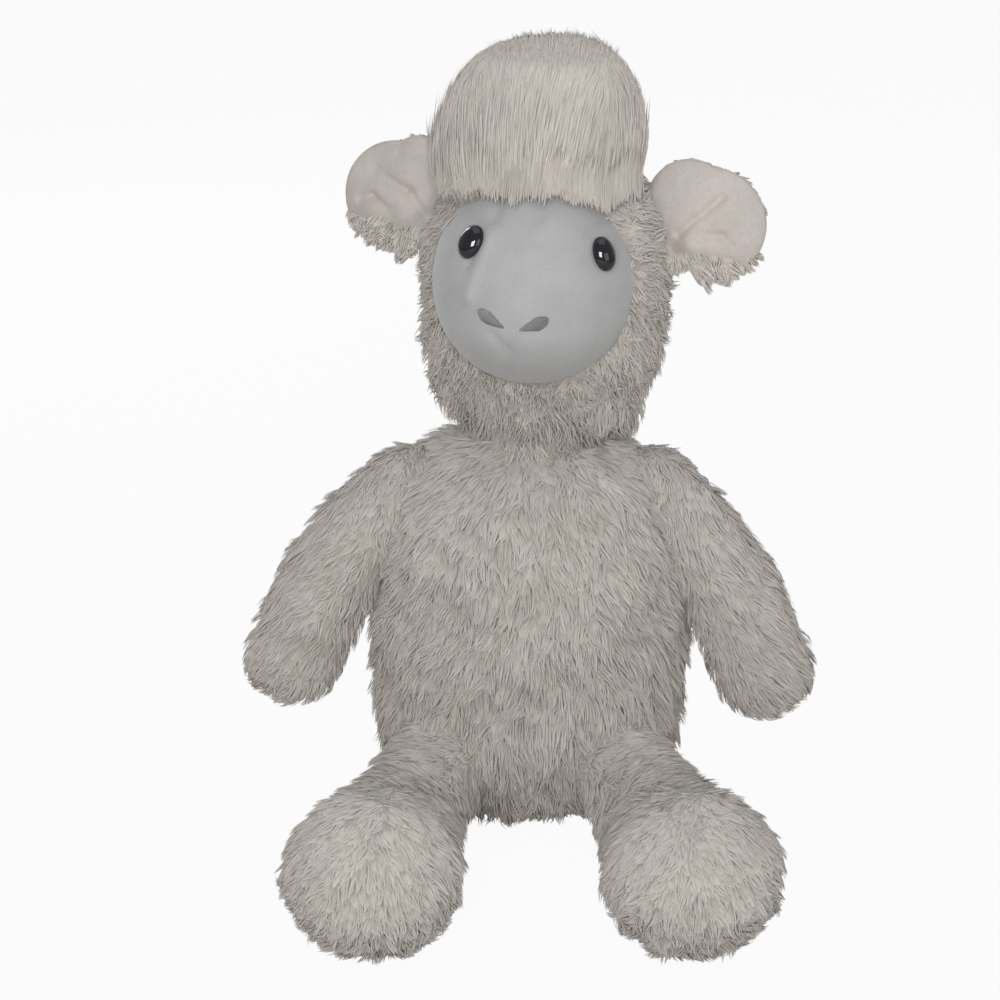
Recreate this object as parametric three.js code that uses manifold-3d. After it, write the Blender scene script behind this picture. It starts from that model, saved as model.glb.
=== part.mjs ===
// Sitting plush llama: sewn fur panels over fibre stuffing, a smooth face with press-on eyes,
// a long-pile topknot, lined ears, and limbs that turn at the seams where they are sewn on.
// Millimetres, +Z up. The toy faces -Y and rests on the floor at z = 0.
import * as THREE from 'three';
import { mergeVertices } from 'three/addons/utils/BufferGeometryUtils.js';
import Module from 'manifold-3d';

const wasm = await Module();
wasm.setup();
const { Manifold } = wasm;

// Fabrics and fits
const pile_wall = 7;
const face_wall = 2.5;
const lining_wall = 1.8;
const seam_gap = 0.3;
const fill_gap = 0.5;
const turn_gap = 0.4;
const floor_cut = 0.5;

// Torso, a pear that is flat under its seat
const widest_height = 72;
const torso = {
  at: [0, 0, widest_height],
  half_width: 72,
  half_depth: 61,
  below: widest_height + floor_cut,
  above: 110,
  round_below: 3.2,
  round_above: 3.5,
};
const pellet_bag_top = 34;

// Head and neck in the head's own frame, whose origin is the neck pivot
const neck_pivot = [2, 0, 172];
const head_yaw = -14;
const head_roll = 3.5;
const nod_back = -12;
const nod_forward = 16;
const neck_ball = 27;
const collar_height = 24;
const head = {
  at: [0, 0, 78],
  half_width: 55,
  half_depth: 48,
  below: 70,
  above: 60,
  narrowing: 0.15,
  round_below: 7,
  round_above: 2.3,
};

// Face, an egg that bulges out of the head's front
const face_bulge = 20;
const face_inset = 13;
const face_half_depth = 44;
const face = {
  at: [0, face_half_depth - face_bulge - head.half_depth, 80],
  half_width: head.half_width - face_inset,
  half_depth: face_half_depth,
  below: 43,
  above: 44,
  round_below: 2.1,
  round_above: 2,
};

// Topknot, a flat-topped tuft over the crown
const topknot = {
  at: [-3, -4, 124],
  half_width: head.half_width - 10,
  half_depth: head.half_depth - 3,
  below: 24,
  above: 53,
  round_below: 2.2,
  round_above: 2.7,
};

// Eyes: a domed oval with a shank, pressed through the face into a washer
const eye_place_left = [face.half_width * 0.762, face.at[2] + face.above * 0.443];
const eye_place_right = [face.half_width * -0.464, face.at[2] + face.above * 0.477];
const eye_half_width = 5.6;
const eye_half_height = 7.2;
const eye_dome = 4.6;
const shank_radius = 2.2;
const shank_length = 13;
const washer_radius = 7;
const washer_thickness = 1.6;
const washer_seat = 1.5;
const shank_fit = 0.25;

// Nostrils: satin-stitched drops that point down to the middle
const nostril_place_left = [face.half_width * 0.267, face.at[2] - face.below * 0.156];
const nostril_place_right = [face.half_width * -0.195, face.at[2] - face.below * 0.149];
const nostril_length = 12;
const nostril_width = 5.4;
const nostril_slant = 24;
const stitch_height = 0.9;

// Ears, in the head's frame, hinged on the seam that holds them
const ear_pivot = [head.half_width - 6, 4, 98.5];
const ear_reach = 18;
const ear_rise_left = 7;
const ear_rise_right = 3;
const ear_root_radius = 17;
const ear_middle_radius = 28;
const ear_tip_radius = 25;
const ear_flatness = 0.34;
const ear_depth_in_seam = 4;
const ear_root_span = 12;
const ear_rim = 5;
const ear_dish = 8.5;
const ear_back_swing = -20;
const ear_forward_swing = 25;

// Arms
const arm_pivot = [torso.half_width - 19.5, -4, 157];
const arm_bend = [torso.half_width + 12, -8, 130];
const arm_tip = [torso.half_width + 32, -14, 78];
const arm_drop_left = 7;
const arm_root_radius = 20;
const arm_middle_radius = 23.5;
const arm_tip_radius = 24;
const arm_flatness = 0.85;
const arm_rise = 80;
const arm_span = 30;

// Legs
const leg_pivot = [torso.half_width - 32, 25 - torso.half_depth, 34];
const leg_bend = [torso.half_width - 18, -torso.half_depth - 25, 32.5];
const leg_tip = [torso.half_width - 8, -torso.half_depth - 74, 37.5];
const leg_root_radius = 27;
const leg_middle_radius = 28;
const leg_flatness = 0.95;
const leg_in = -7;
const leg_out = 20;
const leg_span = 45;

// Tail
const tail_pivot = [0, torso.half_depth - 12, 50];
const tail_bend = [0, torso.half_depth - 2, 48];
const tail_tip = [0, torso.half_depth + 8, 40];
const tail_root_radius = 10;
const tail_middle_radius = 12;
const tail_tip_radius = 11;
const tail_lift = 28;
const tail_span = 40;

// Facets
const body_sides = 20;
const body_rings = 9;
const face_sides = 22;
const face_rings = 10;
const inside_sides = 14;
const inside_rings = 7;
const facet_merge = 0.08;
const limb_detail = { sides: 14, steps: 4, caps: 3 };
const leg_detail = { sides: 16, steps: 4, caps: 4 };
const inside_limb = { sides: 12, steps: 3, caps: 2 };
const tail_detail = { sides: 12, steps: 4, caps: 3 };
const ear_detail = { sides: 14, steps: 3, caps: 2 };

// Facets of the cuts, whose margins keep the flats of a cut clear of what turns in it
const cover_cut = { sides: 12, steps: 2, caps: 2, socket: 12, margin: 1.2 };
const inside_cut = { sides: 8, steps: 2, caps: 2, socket: 8, margin: 3 };

const RAD = Math.PI / 180;

const cream_fur = new THREE.MeshStandardMaterial({ color: 0xd2cbc0, roughness: 0.95 });
const long_fur = new THREE.MeshStandardMaterial({ color: 0xdbd3ca, roughness: 0.9 });
const face_pile = new THREE.MeshStandardMaterial({ color: 0xc4c5c8, roughness: 0.9 });
const ear_lining = new THREE.MeshStandardMaterial({ color: 0xdcd2c8, roughness: 0.9 });
const fibre = new THREE.MeshStandardMaterial({ color: 0xf1f0ec, roughness: 1 });
const bag_cloth = new THREE.MeshStandardMaterial({ color: 0xd9d6cc, roughness: 0.9 });
const black_plastic = new THREE.MeshStandardMaterial({ color: 0x0c0d10, roughness: 0.12 });
const washer_plastic = new THREE.MeshStandardMaterial({ color: 0xdedede, roughness: 0.5 });
const grey_thread = new THREE.MeshStandardMaterial({ color: 0x6a6a70, roughness: 0.55 });

// Geometry to manifold and back
function solid(geometry) {
  const bare = geometry.clone();
  bare.deleteAttribute('normal');
  bare.deleteAttribute('uv');
  const welded = mergeVertices(bare, 1e-4);
  const mesh = new wasm.Mesh({
    numProp: 3,
    vertProperties: new Float32Array(welded.attributes.position.array),
    triVerts: new Uint32Array(welded.index.array),
  });
  return new Manifold(mesh);
}

function geometryOf(body) {
  const mesh = body.getMesh();
  const geometry = new THREE.BufferGeometry();
  geometry.setAttribute('position', new THREE.BufferAttribute(new Float32Array(mesh.vertProperties), 3));
  geometry.setIndex(new THREE.BufferAttribute(new Uint32Array(mesh.triVerts), 1));
  return geometry;
}

// The biggest body of a cut, without the crumbs that a curved cut can leave
function largest(body) {
  const pieces = body.decompose();
  pieces.sort((a, b) => b.volume() - a.volume());
  return pieces[0];
}

// Closed surface through rings of equal point counts, with a pole before and after them
function skinOf(first_pole, rings, last_pole) {
  const sides = rings[0].length;
  const points = [first_pole, ...rings.flat(), last_pole];
  const index = [];
  for (let k = 0; k < sides; k += 1) {
    const next = (k + 1) % sides;
    index.push(0, 1 + next, 1 + k);
    for (let ring = 0; ring < rings.length - 1; ring += 1) {
      const low = 1 + ring * sides;
      const high = low + sides;
      index.push(low + k, low + next, high + next);
      index.push(low + k, high + next, high + k);
    }
    const top = 1 + (rings.length - 1) * sides;
    index.push(points.length - 1, top + k, top + next);
  }
  const geometry = new THREE.BufferGeometry();
  geometry.setAttribute('position', new THREE.Float32BufferAttribute(points.flatMap((p) => p.toArray()), 3));
  geometry.setIndex(index);
  return solid(geometry);
}

// An egg with its own roundness above and below its widest ring, grown by a margin all round
function egg(form, grow = 0, sides = body_sides, rings = body_rings) {
  const centre = new THREE.Vector3(...form.at);
  const loops = [];
  const ringAt = (latitude) => {
    const rise = Math.sin(latitude);
    const roundness = rise < 0 ? form.round_below : form.round_above;
    const reach = rise < 0 ? form.below : form.above;
    const width = Math.pow(Math.cos(latitude), 2 / roundness);
    const share = Math.sign(rise) * Math.pow(Math.abs(rise), 2 / roundness);
    const narrowing = rise < 0 ? (form.narrowing ?? 0) * share * share : 0;
    return { width, height: share * (reach + grow), narrowing };
  };
  for (let ring = 1; ring <= rings; ring += 1) {
    const { width, height, narrowing } = ringAt(((ring / (rings + 1)) - 0.5) * Math.PI);
    const loop = [];
    for (let k = 0; k < sides; k += 1) {
      const angle = ((k + 0.5) / sides) * 2 * Math.PI;
      loop.push(new THREE.Vector3(
        centre.x + width * (form.half_width * (1 - narrowing) + grow) * Math.cos(angle),
        centre.y + width * (form.half_depth * (1 - narrowing) + grow) * Math.sin(angle),
        centre.z + height,
      ));
    }
    loops.push(loop);
  }
  const bottom = centre.clone().add(new THREE.Vector3(0, 0, -form.below - grow));
  const top = centre.clone().add(new THREE.Vector3(0, 0, form.above + grow));
  return skinOf(bottom, loops, top);
}

// A limb: a ball at its root, a tube that swells along a bent line, and a rounded tip
function limb(form, grow = 0, { sides, steps, caps } = limb_detail) {
  const path = new THREE.QuadraticBezierCurve3(
    new THREE.Vector3(...form.pivot),
    new THREE.Vector3(...form.bend),
    new THREE.Vector3(...form.tip),
  );
  const radiusAt = (t) => grow
    + (1 - t) * (1 - 2 * t) * form.root_radius
    + 4 * t * (1 - t) * form.middle_radius
    + t * (2 * t - 1) * form.tip_radius;
  const flatnessAt = (t) => form.flat_root + (form.flat_tip - form.flat_root) * t;
  const loops = [];
  const addLoop = (t, along, share) => {
    const tangent = path.getTangent(t);
    const across = new THREE.Vector3().crossVectors(tangent, form.through).normalize();
    const through = new THREE.Vector3().crossVectors(tangent, across).normalize();
    const radius = radiusAt(t);
    const centre = path.getPoint(t).addScaledVector(tangent, along * radius);
    const loop = [];
    for (let k = 0; k < sides; k += 1) {
      const angle = (k / sides) * 2 * Math.PI;
      loop.push(centre.clone()
        .addScaledVector(across, share * radius * Math.cos(angle))
        .addScaledVector(through, share * radius * flatnessAt(t) * Math.sin(angle)));
    }
    loops.push(loop);
  };
  for (let k = 1; k < caps; k += 1) {
    const angle = (k / caps) * 90 * RAD;
    addLoop(0, -Math.cos(angle), Math.sin(angle));
  }
  for (let k = 0; k <= steps; k += 1) addLoop(k / steps, 0, 1);
  for (let k = caps - 1; k > 0; k -= 1) {
    const angle = (k / caps) * 90 * RAD;
    addLoop(1, Math.cos(angle), Math.sin(angle));
  }
  const start = path.getPoint(0).addScaledVector(path.getTangent(0), -radiusAt(0));
  const end = path.getPoint(1).addScaledVector(path.getTangent(1), radiusAt(1));
  return skinOf(start, loops, end);
}

// A ball whose facets all lie outside its radius, to cut a socket that a ball turns in
function socket(at, radius, sides) {
  const outside = radius / Math.cos(Math.PI / sides) / Math.cos(Math.PI / sides);
  const ball = new THREE.SphereGeometry(outside, sides, sides / 2);
  ball.translate(...at);
  return solid(ball);
}

// The same body turned about an axis through a pivot
function turned(body, pivot, axis, degrees) {
  const there = new THREE.Matrix4().makeTranslation(...pivot);
  const back = new THREE.Matrix4().makeTranslation(-pivot[0], -pivot[1], -pivot[2]);
  const spin = new THREE.Matrix4().makeRotationAxis(new THREE.Vector3(...axis).normalize(), degrees * RAD);
  return body.transform(there.multiply(spin).multiply(back).elements);
}

// The room that the near end of a body needs: the hull of its places from one limit to the other
function turningRoom(body, pivot, axis, from, to) {
  const places = [0, 0.25, 0.5, 0.75, 1].map((share) => turned(body, pivot, axis, from + (to - from) * share));
  return Manifold.hull(places);
}

// The part of a limb that lies within a span of its pivot, along its first direction
function nearEnd(form, grow, span, detail) {
  const along = new THREE.Vector3(...form.bend).sub(new THREE.Vector3(...form.pivot)).normalize();
  const offset = along.dot(new THREE.Vector3(...form.pivot)) + span + grow;
  return limb(form, grow, detail).trimByPlane([-along.x, -along.y, -along.z], -offset);
}

// A cover of one wall thickness, cut in two along the plane through its seams
function panels(outer, inner, normal, point) {
  const wall = outer.subtract(inner);
  const away = new THREE.Vector3(...normal).normalize();
  const offset = away.dot(new THREE.Vector3(...point));
  return [
    wall.trimByPlane([-away.x, -away.y, -away.z], -offset + seam_gap / 2),
    wall.trimByPlane(away.toArray(), offset + seam_gap / 2),
  ];
}

const mirrored = (point, side) => [point[0] * side, point[1], point[2]];

const toy = new THREE.Group();

function groupAt(parent, at) {
  const group = new THREE.Group();
  group.position.set(...at);
  parent.add(group);
  return group;
}

// Adds a body, given in the frame of the group's parent, to a group that stands at a pivot
function addPiece(group, name, body, material) {
  const { x, y, z } = group.position;
  const whole = largest(body.translate([-x, -y, -z]).simplify(facet_merge));
  const mesh = new THREE.Mesh(geometryOf(whole), material);
  mesh.name = name;
  group.add(mesh);
}

// Head frame: turned a little to one side and tipped, as the photographed toy holds it
const head_turn = new THREE.Group();
head_turn.position.set(...neck_pivot);
head_turn.rotation.set(0, head_roll * RAD, head_yaw * RAD, 'YZX');
head_turn.updateMatrix();
const neck_origin = [0, 0, 0];

const headForm = (grow, sides, rings) => egg(head, grow, sides, rings).add(egg({
  at: neck_origin,
  half_width: neck_ball,
  half_depth: neck_ball,
  below: neck_ball,
  above: neck_ball,
  round_below: 2,
  round_above: 2,
}, grow, 18, 8));
const faceForm = (grow) => egg(face, grow, face_sides, face_rings);

// Limb forms, one for each side; the left hand hangs lower
const dropOf = (side) => (side > 0 ? arm_drop_left : 0);
const armOf = (side) => ({
  pivot: mirrored(arm_pivot, side),
  bend: mirrored([arm_bend[0], arm_bend[1], arm_bend[2] - dropOf(side) / 2], side),
  tip: mirrored([arm_tip[0], arm_tip[1], arm_tip[2] - dropOf(side)], side),
  root_radius: arm_root_radius,
  middle_radius: arm_middle_radius,
  tip_radius: arm_tip_radius,
  flat_root: 1,
  flat_tip: arm_flatness,
  through: new THREE.Vector3(0, -1, 0),
});
const legOf = (side) => ({
  pivot: mirrored(leg_pivot, side),
  bend: mirrored(leg_bend, side),
  tip: mirrored(leg_tip, side),
  root_radius: leg_root_radius,
  middle_radius: leg_middle_radius,
  tip_radius: (leg_tip[2] + floor_cut) / leg_flatness,
  flat_root: 1,
  flat_tip: leg_flatness,
  through: new THREE.Vector3(0, 0, 1),
});
const tail_form = {
  pivot: tail_pivot,
  bend: tail_bend,
  tip: tail_tip,
  root_radius: tail_root_radius,
  middle_radius: tail_middle_radius,
  tip_radius: tail_tip_radius,
  flat_root: 1,
  flat_tip: 1,
  through: new THREE.Vector3(1, 0, 0),
};

// Room that the torso leaves for the head, limbs and tail through their whole range
function roomRoundTorso(detail, less = 0) {
  const margin = detail.margin - less;
  const collar = egg(head, margin, detail.sides + 6, detail.sides / 2 + 2)
    .trimByPlane([0, 0, -1], -collar_height - margin)
    .transform(head_turn.matrix.elements);
  const rooms = [turningRoom(collar, neck_pivot, [1, 0, 0], nod_back, nod_forward)];
  rooms.push(socket(neck_pivot, neck_ball + turn_gap - less, detail.socket));
  const addLimb = (form, span, axis, from, to) => {
    rooms.push(turningRoom(nearEnd(form, margin, span, detail), form.pivot, axis, from, to));
    rooms.push(socket(form.pivot, form.root_radius + turn_gap - less, detail.socket));
  };
  addLimb(armOf(1), arm_span, [0, 1, 0], -arm_rise, 0);
  addLimb(armOf(-1), arm_span, [0, 1, 0], 0, arm_rise);
  addLimb(legOf(1), leg_span, [0, 0, 1], leg_in, leg_out);
  addLimb(legOf(-1), leg_span, [0, 0, 1], -leg_out, -leg_in);
  addLimb(tail_form, tail_span, [1, 0, 0], 0, tail_lift);
  return Manifold.union(rooms);
}

// Torso: front and back panels sewn down the sides, stuffing, and a bag of pellets in the seat
function buildTorso() {
  const group = groupAt(toy, [0, 0, 0]);
  const cut = (body, room) => body.trimByPlane([0, 0, 1], 0).subtract(room);
  const coverRoom = roomRoundTorso(cover_cut);
  const insideRoom = roomRoundTorso(inside_cut);
  const inside = egg(torso, -pile_wall, inside_sides, inside_rings);
  const filling = egg(torso, -pile_wall - fill_gap, inside_sides, inside_rings);
  const [front, back] = panels(egg(torso), inside, [0, 1, 0], torso.at);
  const bag = filling.trimByPlane([0, 0, -1], -pellet_bag_top);
  const above_bag = filling.trimByPlane([0, 0, 1], pellet_bag_top + seam_gap);
  addPiece(group, 'torso_front_panel', cut(front, coverRoom), cream_fur);
  addPiece(group, 'torso_back_panel', cut(back, coverRoom), cream_fur);
  addPiece(group, 'torso_stuffing', cut(above_bag, insideRoom), fibre);
  addPiece(group, 'seat_pellet_bag', cut(bag, insideRoom), bag_cloth);
}

// A stuffed limb of two panels, trimmed by the torso it is sewn to
function buildLimb(name, form, detail, normal, names, clear) {
  const group = groupAt(toy, form.pivot);
  const trim = (body) => body.subtract(clear).trimByPlane([0, 0, 1], 0);
  const inner = limb(form, -pile_wall, inside_limb);
  const filling = limb(form, -pile_wall - fill_gap, inside_limb);
  const [near, far] = panels(limb(form, 0, detail), inner, normal, form.pivot);
  addPiece(group, `${name}_${names[0]}`, trim(near), cream_fur);
  addPiece(group, `${name}_${names[1]}`, trim(far), cream_fur);
  addPiece(group, `${name}_stuffing`, trim(filling), fibre);
}

function buildLimbs() {
  const torsoBody = egg(torso, seam_gap).subtract(roomRoundTorso(cover_cut, seam_gap));
  for (const [side, word] of [[-1, 'right'], [1, 'left']]) {
    const arm = armOf(side);
    const forward = (arm.tip[1] - arm.pivot[1]) / (arm.tip[2] - arm.pivot[2]);
    buildLimb(`arm_${word}`, arm, limb_detail, [0, 1, -forward], ['front_panel', 'back_panel'], torsoBody);
    const leg = legOf(side);
    const line = [leg.tip[0] - leg.pivot[0], leg.tip[1] - leg.pivot[1]];
    const inward = [line[1] * side, -line[0] * side, 0];
    buildLimb(`leg_${word}`, leg, leg_detail, inward, ['outer_panel', 'inner_panel'], torsoBody);
  }
}

function buildTail() {
  const group = groupAt(toy, tail_pivot);
  addPiece(group, 'tail', limb(tail_form, 0, tail_detail), cream_fur);
}

// A point on the face and the way it looks, from its distance off centre and its height
function onFace(across, height) {
  const round = height < face.at[2] ? face.round_below : face.round_above;
  const reach = height < face.at[2] ? face.below : face.above;
  const rise = (height - face.at[2]) / reach;
  const ring = Math.pow(1 - Math.pow(Math.abs(rise), round), 1 / round);
  const x = across - face.at[0];
  const depth = face.half_depth * Math.sqrt(ring * ring - (x / face.half_width) ** 2);
  const slope = Math.sign(rise) * Math.pow(Math.abs(rise), round - 1) * Math.pow(ring, 2 - round) / reach;
  const outward = new THREE.Vector3(x / face.half_width ** 2, -depth / face.half_depth ** 2, slope);
  return { point: new THREE.Vector3(across, face.at[1] - depth, height), outward: outward.normalize() };
}

// Moves a body that was made round the origin, looking along +Z, onto the face
function setOnFace(body, across, height, spin, sink) {
  const { point, outward } = onFace(across, height);
  const up = new THREE.Vector3(0, 0, 1);
  const side = new THREE.Vector3().crossVectors(up, outward).normalize();
  const lift = new THREE.Vector3().crossVectors(outward, side);
  const matrix = new THREE.Matrix4().makeBasis(side, lift, outward);
  matrix.multiply(new THREE.Matrix4().makeRotationZ(spin * RAD));
  matrix.setPosition(point.addScaledVector(outward, sink));
  return body.transform(matrix.elements);
}

// Eye seen from its own axis: a dome with a flat back, and the shank that runs inward
function eyeBody(grow = 0) {
  const dome = new THREE.SphereGeometry(1, 18, 10);
  dome.scale(eye_half_width + grow, eye_half_height + grow, eye_dome + grow);
  const shank = new THREE.CylinderGeometry(shank_radius + grow, shank_radius + grow, shank_length, 12);
  shank.rotateX(Math.PI / 2);
  shank.translate(0, 0, 1 - shank_length / 2);
  return solid(dome).trimByPlane([0, 0, 1], 0).add(solid(shank));
}

function washerBody(grow) {
  const half = washer_thickness / 2 + grow;
  const ring = new THREE.Shape().absarc(0, 0, washer_radius + grow, 0, 2 * Math.PI);
  if (grow === 0) ring.holes.push(new THREE.Path().absarc(0, 0, shank_radius + shank_fit, 0, 2 * Math.PI, true));
  const washer = new THREE.ExtrudeGeometry(ring, { depth: 2 * half, bevelEnabled: false, curveSegments: 6 });
  washer.translate(0, 0, -half);
  return solid(washer);
}

// A drop outline with its point along -X, drawn out as a prism that crosses the face
function nostrilPrism() {
  const drop = new THREE.Shape();
  drop.moveTo(-nostril_length * 0.62, 0);
  drop.quadraticCurveTo(-nostril_length * 0.1, nostril_width * 0.55, nostril_length * 0.2, nostril_width / 2);
  drop.bezierCurveTo(nostril_length * 0.48, nostril_width * 0.42, nostril_length * 0.48,
    -nostril_width * 0.42, nostril_length * 0.2, -nostril_width / 2);
  drop.quadraticCurveTo(-nostril_length * 0.1, -nostril_width * 0.45, -nostril_length * 0.62, 0);
  const prism = new THREE.ExtrudeGeometry(drop, { depth: nostril_length, bevelEnabled: false, curveSegments: 7 });
  prism.translate(0, 0, -nostril_length / 2);
  return solid(prism);
}

function buildHead() {
  toy.add(head_turn);
  const group = new THREE.Group();
  head_turn.add(group);
  const outer = headForm(0);
  const inner = headForm(-pile_wall, inside_sides, inside_rings);
  const filling = headForm(-pile_wall - fill_gap, inside_sides, inside_rings);
  const earRoom = Manifold.union([-1, 1].map((side) => earTurningRoom(side)));
  let eyeRoom = [];
  let eyeHoles = [];
  for (const place of [eye_place_right, eye_place_left]) {
    eyeHoles.push(setOnFace(eyeBody(shank_fit), ...place, 0, -face_wall * 0.2));
    const well = new THREE.CylinderGeometry(washer_radius + seam_gap, washer_radius + seam_gap, 2 * shank_length, 24);
    well.rotateX(Math.PI / 2);
    eyeRoom.push(setOnFace(solid(well), ...place, 0, 0));
  }
  eyeHoles = Manifold.union(eyeHoles);
  eyeRoom = Manifold.union(eyeRoom);

  const [left, right] = panels(outer, inner, [-1, 0, 0], neck_origin);
  const cover = (body) => body.subtract(faceForm(seam_gap)).subtract(earRoom);
  addPiece(group, 'head_left_panel', cover(left), cream_fur);
  addPiece(group, 'head_right_panel', cover(right), cream_fur);

  const faceWall = faceForm(0).subtract(faceForm(-face_wall));
  addPiece(group, 'face_panel', faceWall.subtract(inner).subtract(eyeHoles), face_pile);

  const snout = faceForm(-face_wall - fill_gap);
  addPiece(group, 'head_stuffing', filling.add(snout).subtract(eyeRoom).subtract(earRoom), fibre);

  const tuft = egg(topknot).subtract(headForm(seam_gap)).subtract(faceForm(seam_gap)).subtract(earRoom);
  addPiece(group, 'topknot', tuft, long_fur);

  for (const [side, word] of [[-1, 'right'], [1, 'left']]) {
    const eyePlace = side > 0 ? eye_place_left : eye_place_right;
    addPiece(group, `eye_${word}`, setOnFace(eyeBody(), ...eyePlace, 0, 0), black_plastic);
    const behind = -face_wall - washer_seat - washer_thickness / 2;
    const washer = setOnFace(washerBody(0), ...eyePlace, 0, behind);
    addPiece(group, `eye_washer_${word}`, washer, washer_plastic);
    const slant = side > 0 ? nostril_slant : 180 - nostril_slant;
    const nostrilPlace = side > 0 ? nostril_place_left : nostril_place_right;
    const prism = setOnFace(nostrilPrism(), ...nostrilPlace, slant, 0);
    const stitch = prism.intersect(faceForm(seam_gap + stitch_height).subtract(faceForm(seam_gap)));
    addPiece(group, `nostril_${word}`, stitch, grey_thread);
  }
}

// Ears: a furry back with a dish in its front, and the smooth lining in the dish
const earRise = (side) => (side > 0 ? ear_rise_left : ear_rise_right);
const earForm = (side) => ({
  pivot: mirrored(ear_pivot, side),
  bend: [side * (ear_pivot[0] + ear_reach / 2), ear_pivot[1], ear_pivot[2] + earRise(side)],
  tip: [side * (ear_pivot[0] + ear_reach), ear_pivot[1], ear_pivot[2] + earRise(side)],
  root_radius: ear_root_radius,
  middle_radius: ear_middle_radius,
  tip_radius: ear_tip_radius,
  flat_root: ear_flatness,
  flat_tip: ear_flatness,
  through: new THREE.Vector3(0, -1, 0),
});

const earWhole = (side, grow) => limb(earForm(side), grow, ear_detail)
  .trimByPlane([side, 0, 0], ear_pivot[0] - ear_depth_in_seam - grow);

function earTurningRoom(side) {
  const range = side > 0 ? [ear_back_swing, ear_forward_swing] : [-ear_forward_swing, -ear_back_swing];
  const root = earWhole(side, turn_gap).trimByPlane([-side, 0, 0], -ear_pivot[0] - ear_root_span);
  return turningRoom(root, earForm(side).pivot, [0, 0, 1], -range[1], -range[0]);
}

function buildEars() {
  for (const [side, word] of [[-1, 'right'], [1, 'left']]) {
    const form = earForm(side);
    const group = groupAt(head_turn, form.pivot);
    const whole = earWhole(side, 0);
    const dish = (margin) => limb(form, -ear_rim - margin, ear_detail).translate([0, -ear_dish - margin * (1 - ear_flatness), 0]);
    const lining = dish(seam_gap).subtract(dish(seam_gap + lining_wall)).intersect(whole);
    addPiece(group, `ear_${word}_back`, whole.subtract(dish(0)), cream_fur);
    addPiece(group, `ear_${word}_lining`, lining, ear_lining);
  }
}

buildTorso();
buildLimbs();
buildTail();
buildHead();
buildEars();

// The frame's origin is under the middle of the toy's bounding box
const box = new THREE.Box3().setFromObject(toy);
toy.position.set(-(box.min.x + box.max.x) / 2, -(box.min.y + box.max.y) / 2, -box.min.z);

export default toy;
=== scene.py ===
"""Dresses the sitting plush llama: furry body, smooth face, topknot, ears, eyes and stitched nostrils."""

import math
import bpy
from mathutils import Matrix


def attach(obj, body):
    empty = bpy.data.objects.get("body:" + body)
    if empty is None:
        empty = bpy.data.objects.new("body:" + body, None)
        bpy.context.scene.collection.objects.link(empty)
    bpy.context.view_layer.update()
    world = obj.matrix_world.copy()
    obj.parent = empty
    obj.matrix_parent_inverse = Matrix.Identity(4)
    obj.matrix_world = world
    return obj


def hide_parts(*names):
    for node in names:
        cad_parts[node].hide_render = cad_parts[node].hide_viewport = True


bl_info = {
    "name": "Sitting plush llama",
    "version": (1, 0, 0),
    "blender": (4, 5, 0),
    "location": "3D View > Sidebar > Llama",
    "description": "Makes a sitting plush llama over its working frame, and the stage it is shown on",
    "category": "Object",
}

import bpy
import numpy as np
from bpy.props import FloatProperty, FloatVectorProperty, IntProperty, PointerProperty
from mathutils import Vector, kdtree

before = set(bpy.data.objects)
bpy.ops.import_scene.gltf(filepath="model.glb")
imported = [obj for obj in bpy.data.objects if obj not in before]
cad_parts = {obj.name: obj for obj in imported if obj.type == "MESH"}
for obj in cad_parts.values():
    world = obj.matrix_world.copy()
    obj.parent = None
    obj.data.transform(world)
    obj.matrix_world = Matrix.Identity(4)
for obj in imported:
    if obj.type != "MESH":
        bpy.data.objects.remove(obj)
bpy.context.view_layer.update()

# Places in millimetres. The toy's own origin is on the floor under its torso.
HOME = np.array([0.041, 47.262, 0.0])
NECK = np.array([2.0, 0.0, 172.0])
YAW = math.radians(-14)
ROLL = math.radians(3.5)
TURN_SIDE = np.array([[math.cos(YAW), -math.sin(YAW), 0], [math.sin(YAW), math.cos(YAW), 0], [0, 0, 1]])
TURN_TIP = np.array([[math.cos(ROLL), 0, math.sin(ROLL)], [0, 1, 0], [-math.sin(ROLL), 0, math.cos(ROLL)]])
HEAD_TURN = TURN_TIP @ TURN_SIDE

TORSO = {"at": (0, 0, 72), "wide": 72, "deep": 61, "below": 72.5, "above": 110, "round": (3.2, 3.5)}
HEAD = {"at": (0, 0, 78), "wide": 55, "deep": 48, "below": 70, "above": 60, "round": (7, 2.3),
        "narrow": 0.15}
NECK_BALL = {"at": (0, 0, 0), "wide": 27, "deep": 27, "below": 27, "above": 27, "round": (2, 2)}
FACE = {"at": (0, -24, 80), "wide": 42, "deep": 44, "below": 43, "above": 44, "round": (2.1, 2)}
TOPKNOT = {"at": (-3, -4, 124), "wide": 45, "deep": 45, "below": 24, "above": 53, "round": (2.2, 2.7)}
CROWN = {"at": (-3, -4, 112), "wide": 46.5, "deep": 45, "below": 14, "above": 65, "round": (6, 2.5)}
ARM = {"pivot": (52.5, -4, 157), "bend": (84, -8, 130), "tip": (104, -14, 78), "radii": (20, 23.5, 24),
       "flat": (1, 0.85), "through": (0, -1, 0), "lift_left": -7}
LEG = {"pivot": (40, -36, 34), "bend": (54, -86, 32.5), "tip": (64, -135, 37.5), "radii": (27, 28, 40),
       "flat": (1, 0.95), "through": (0, 0, 1)}
TAIL = {"pivot": (0, 49, 50), "bend": (0, 59, 48), "tip": (0, 69, 40), "radii": (10, 12, 11),
        "flat": (1, 1), "through": (1, 0, 0)}
EAR = {"pivot": (49, 4, 98.5), "bend": (58, 4, 101.5), "tip": (67, 4, 101.5), "radii": (17, 28, 25),
       "flat": (0.34, 0.34), "through": (0, -1, 0), "lift_left": 4}
EYE = {"left": (32.0, 99.5), "right": (-19.5, 101.0), "half_width": 5.6, "half_height": 7.2, "dome": 4.6}
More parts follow.
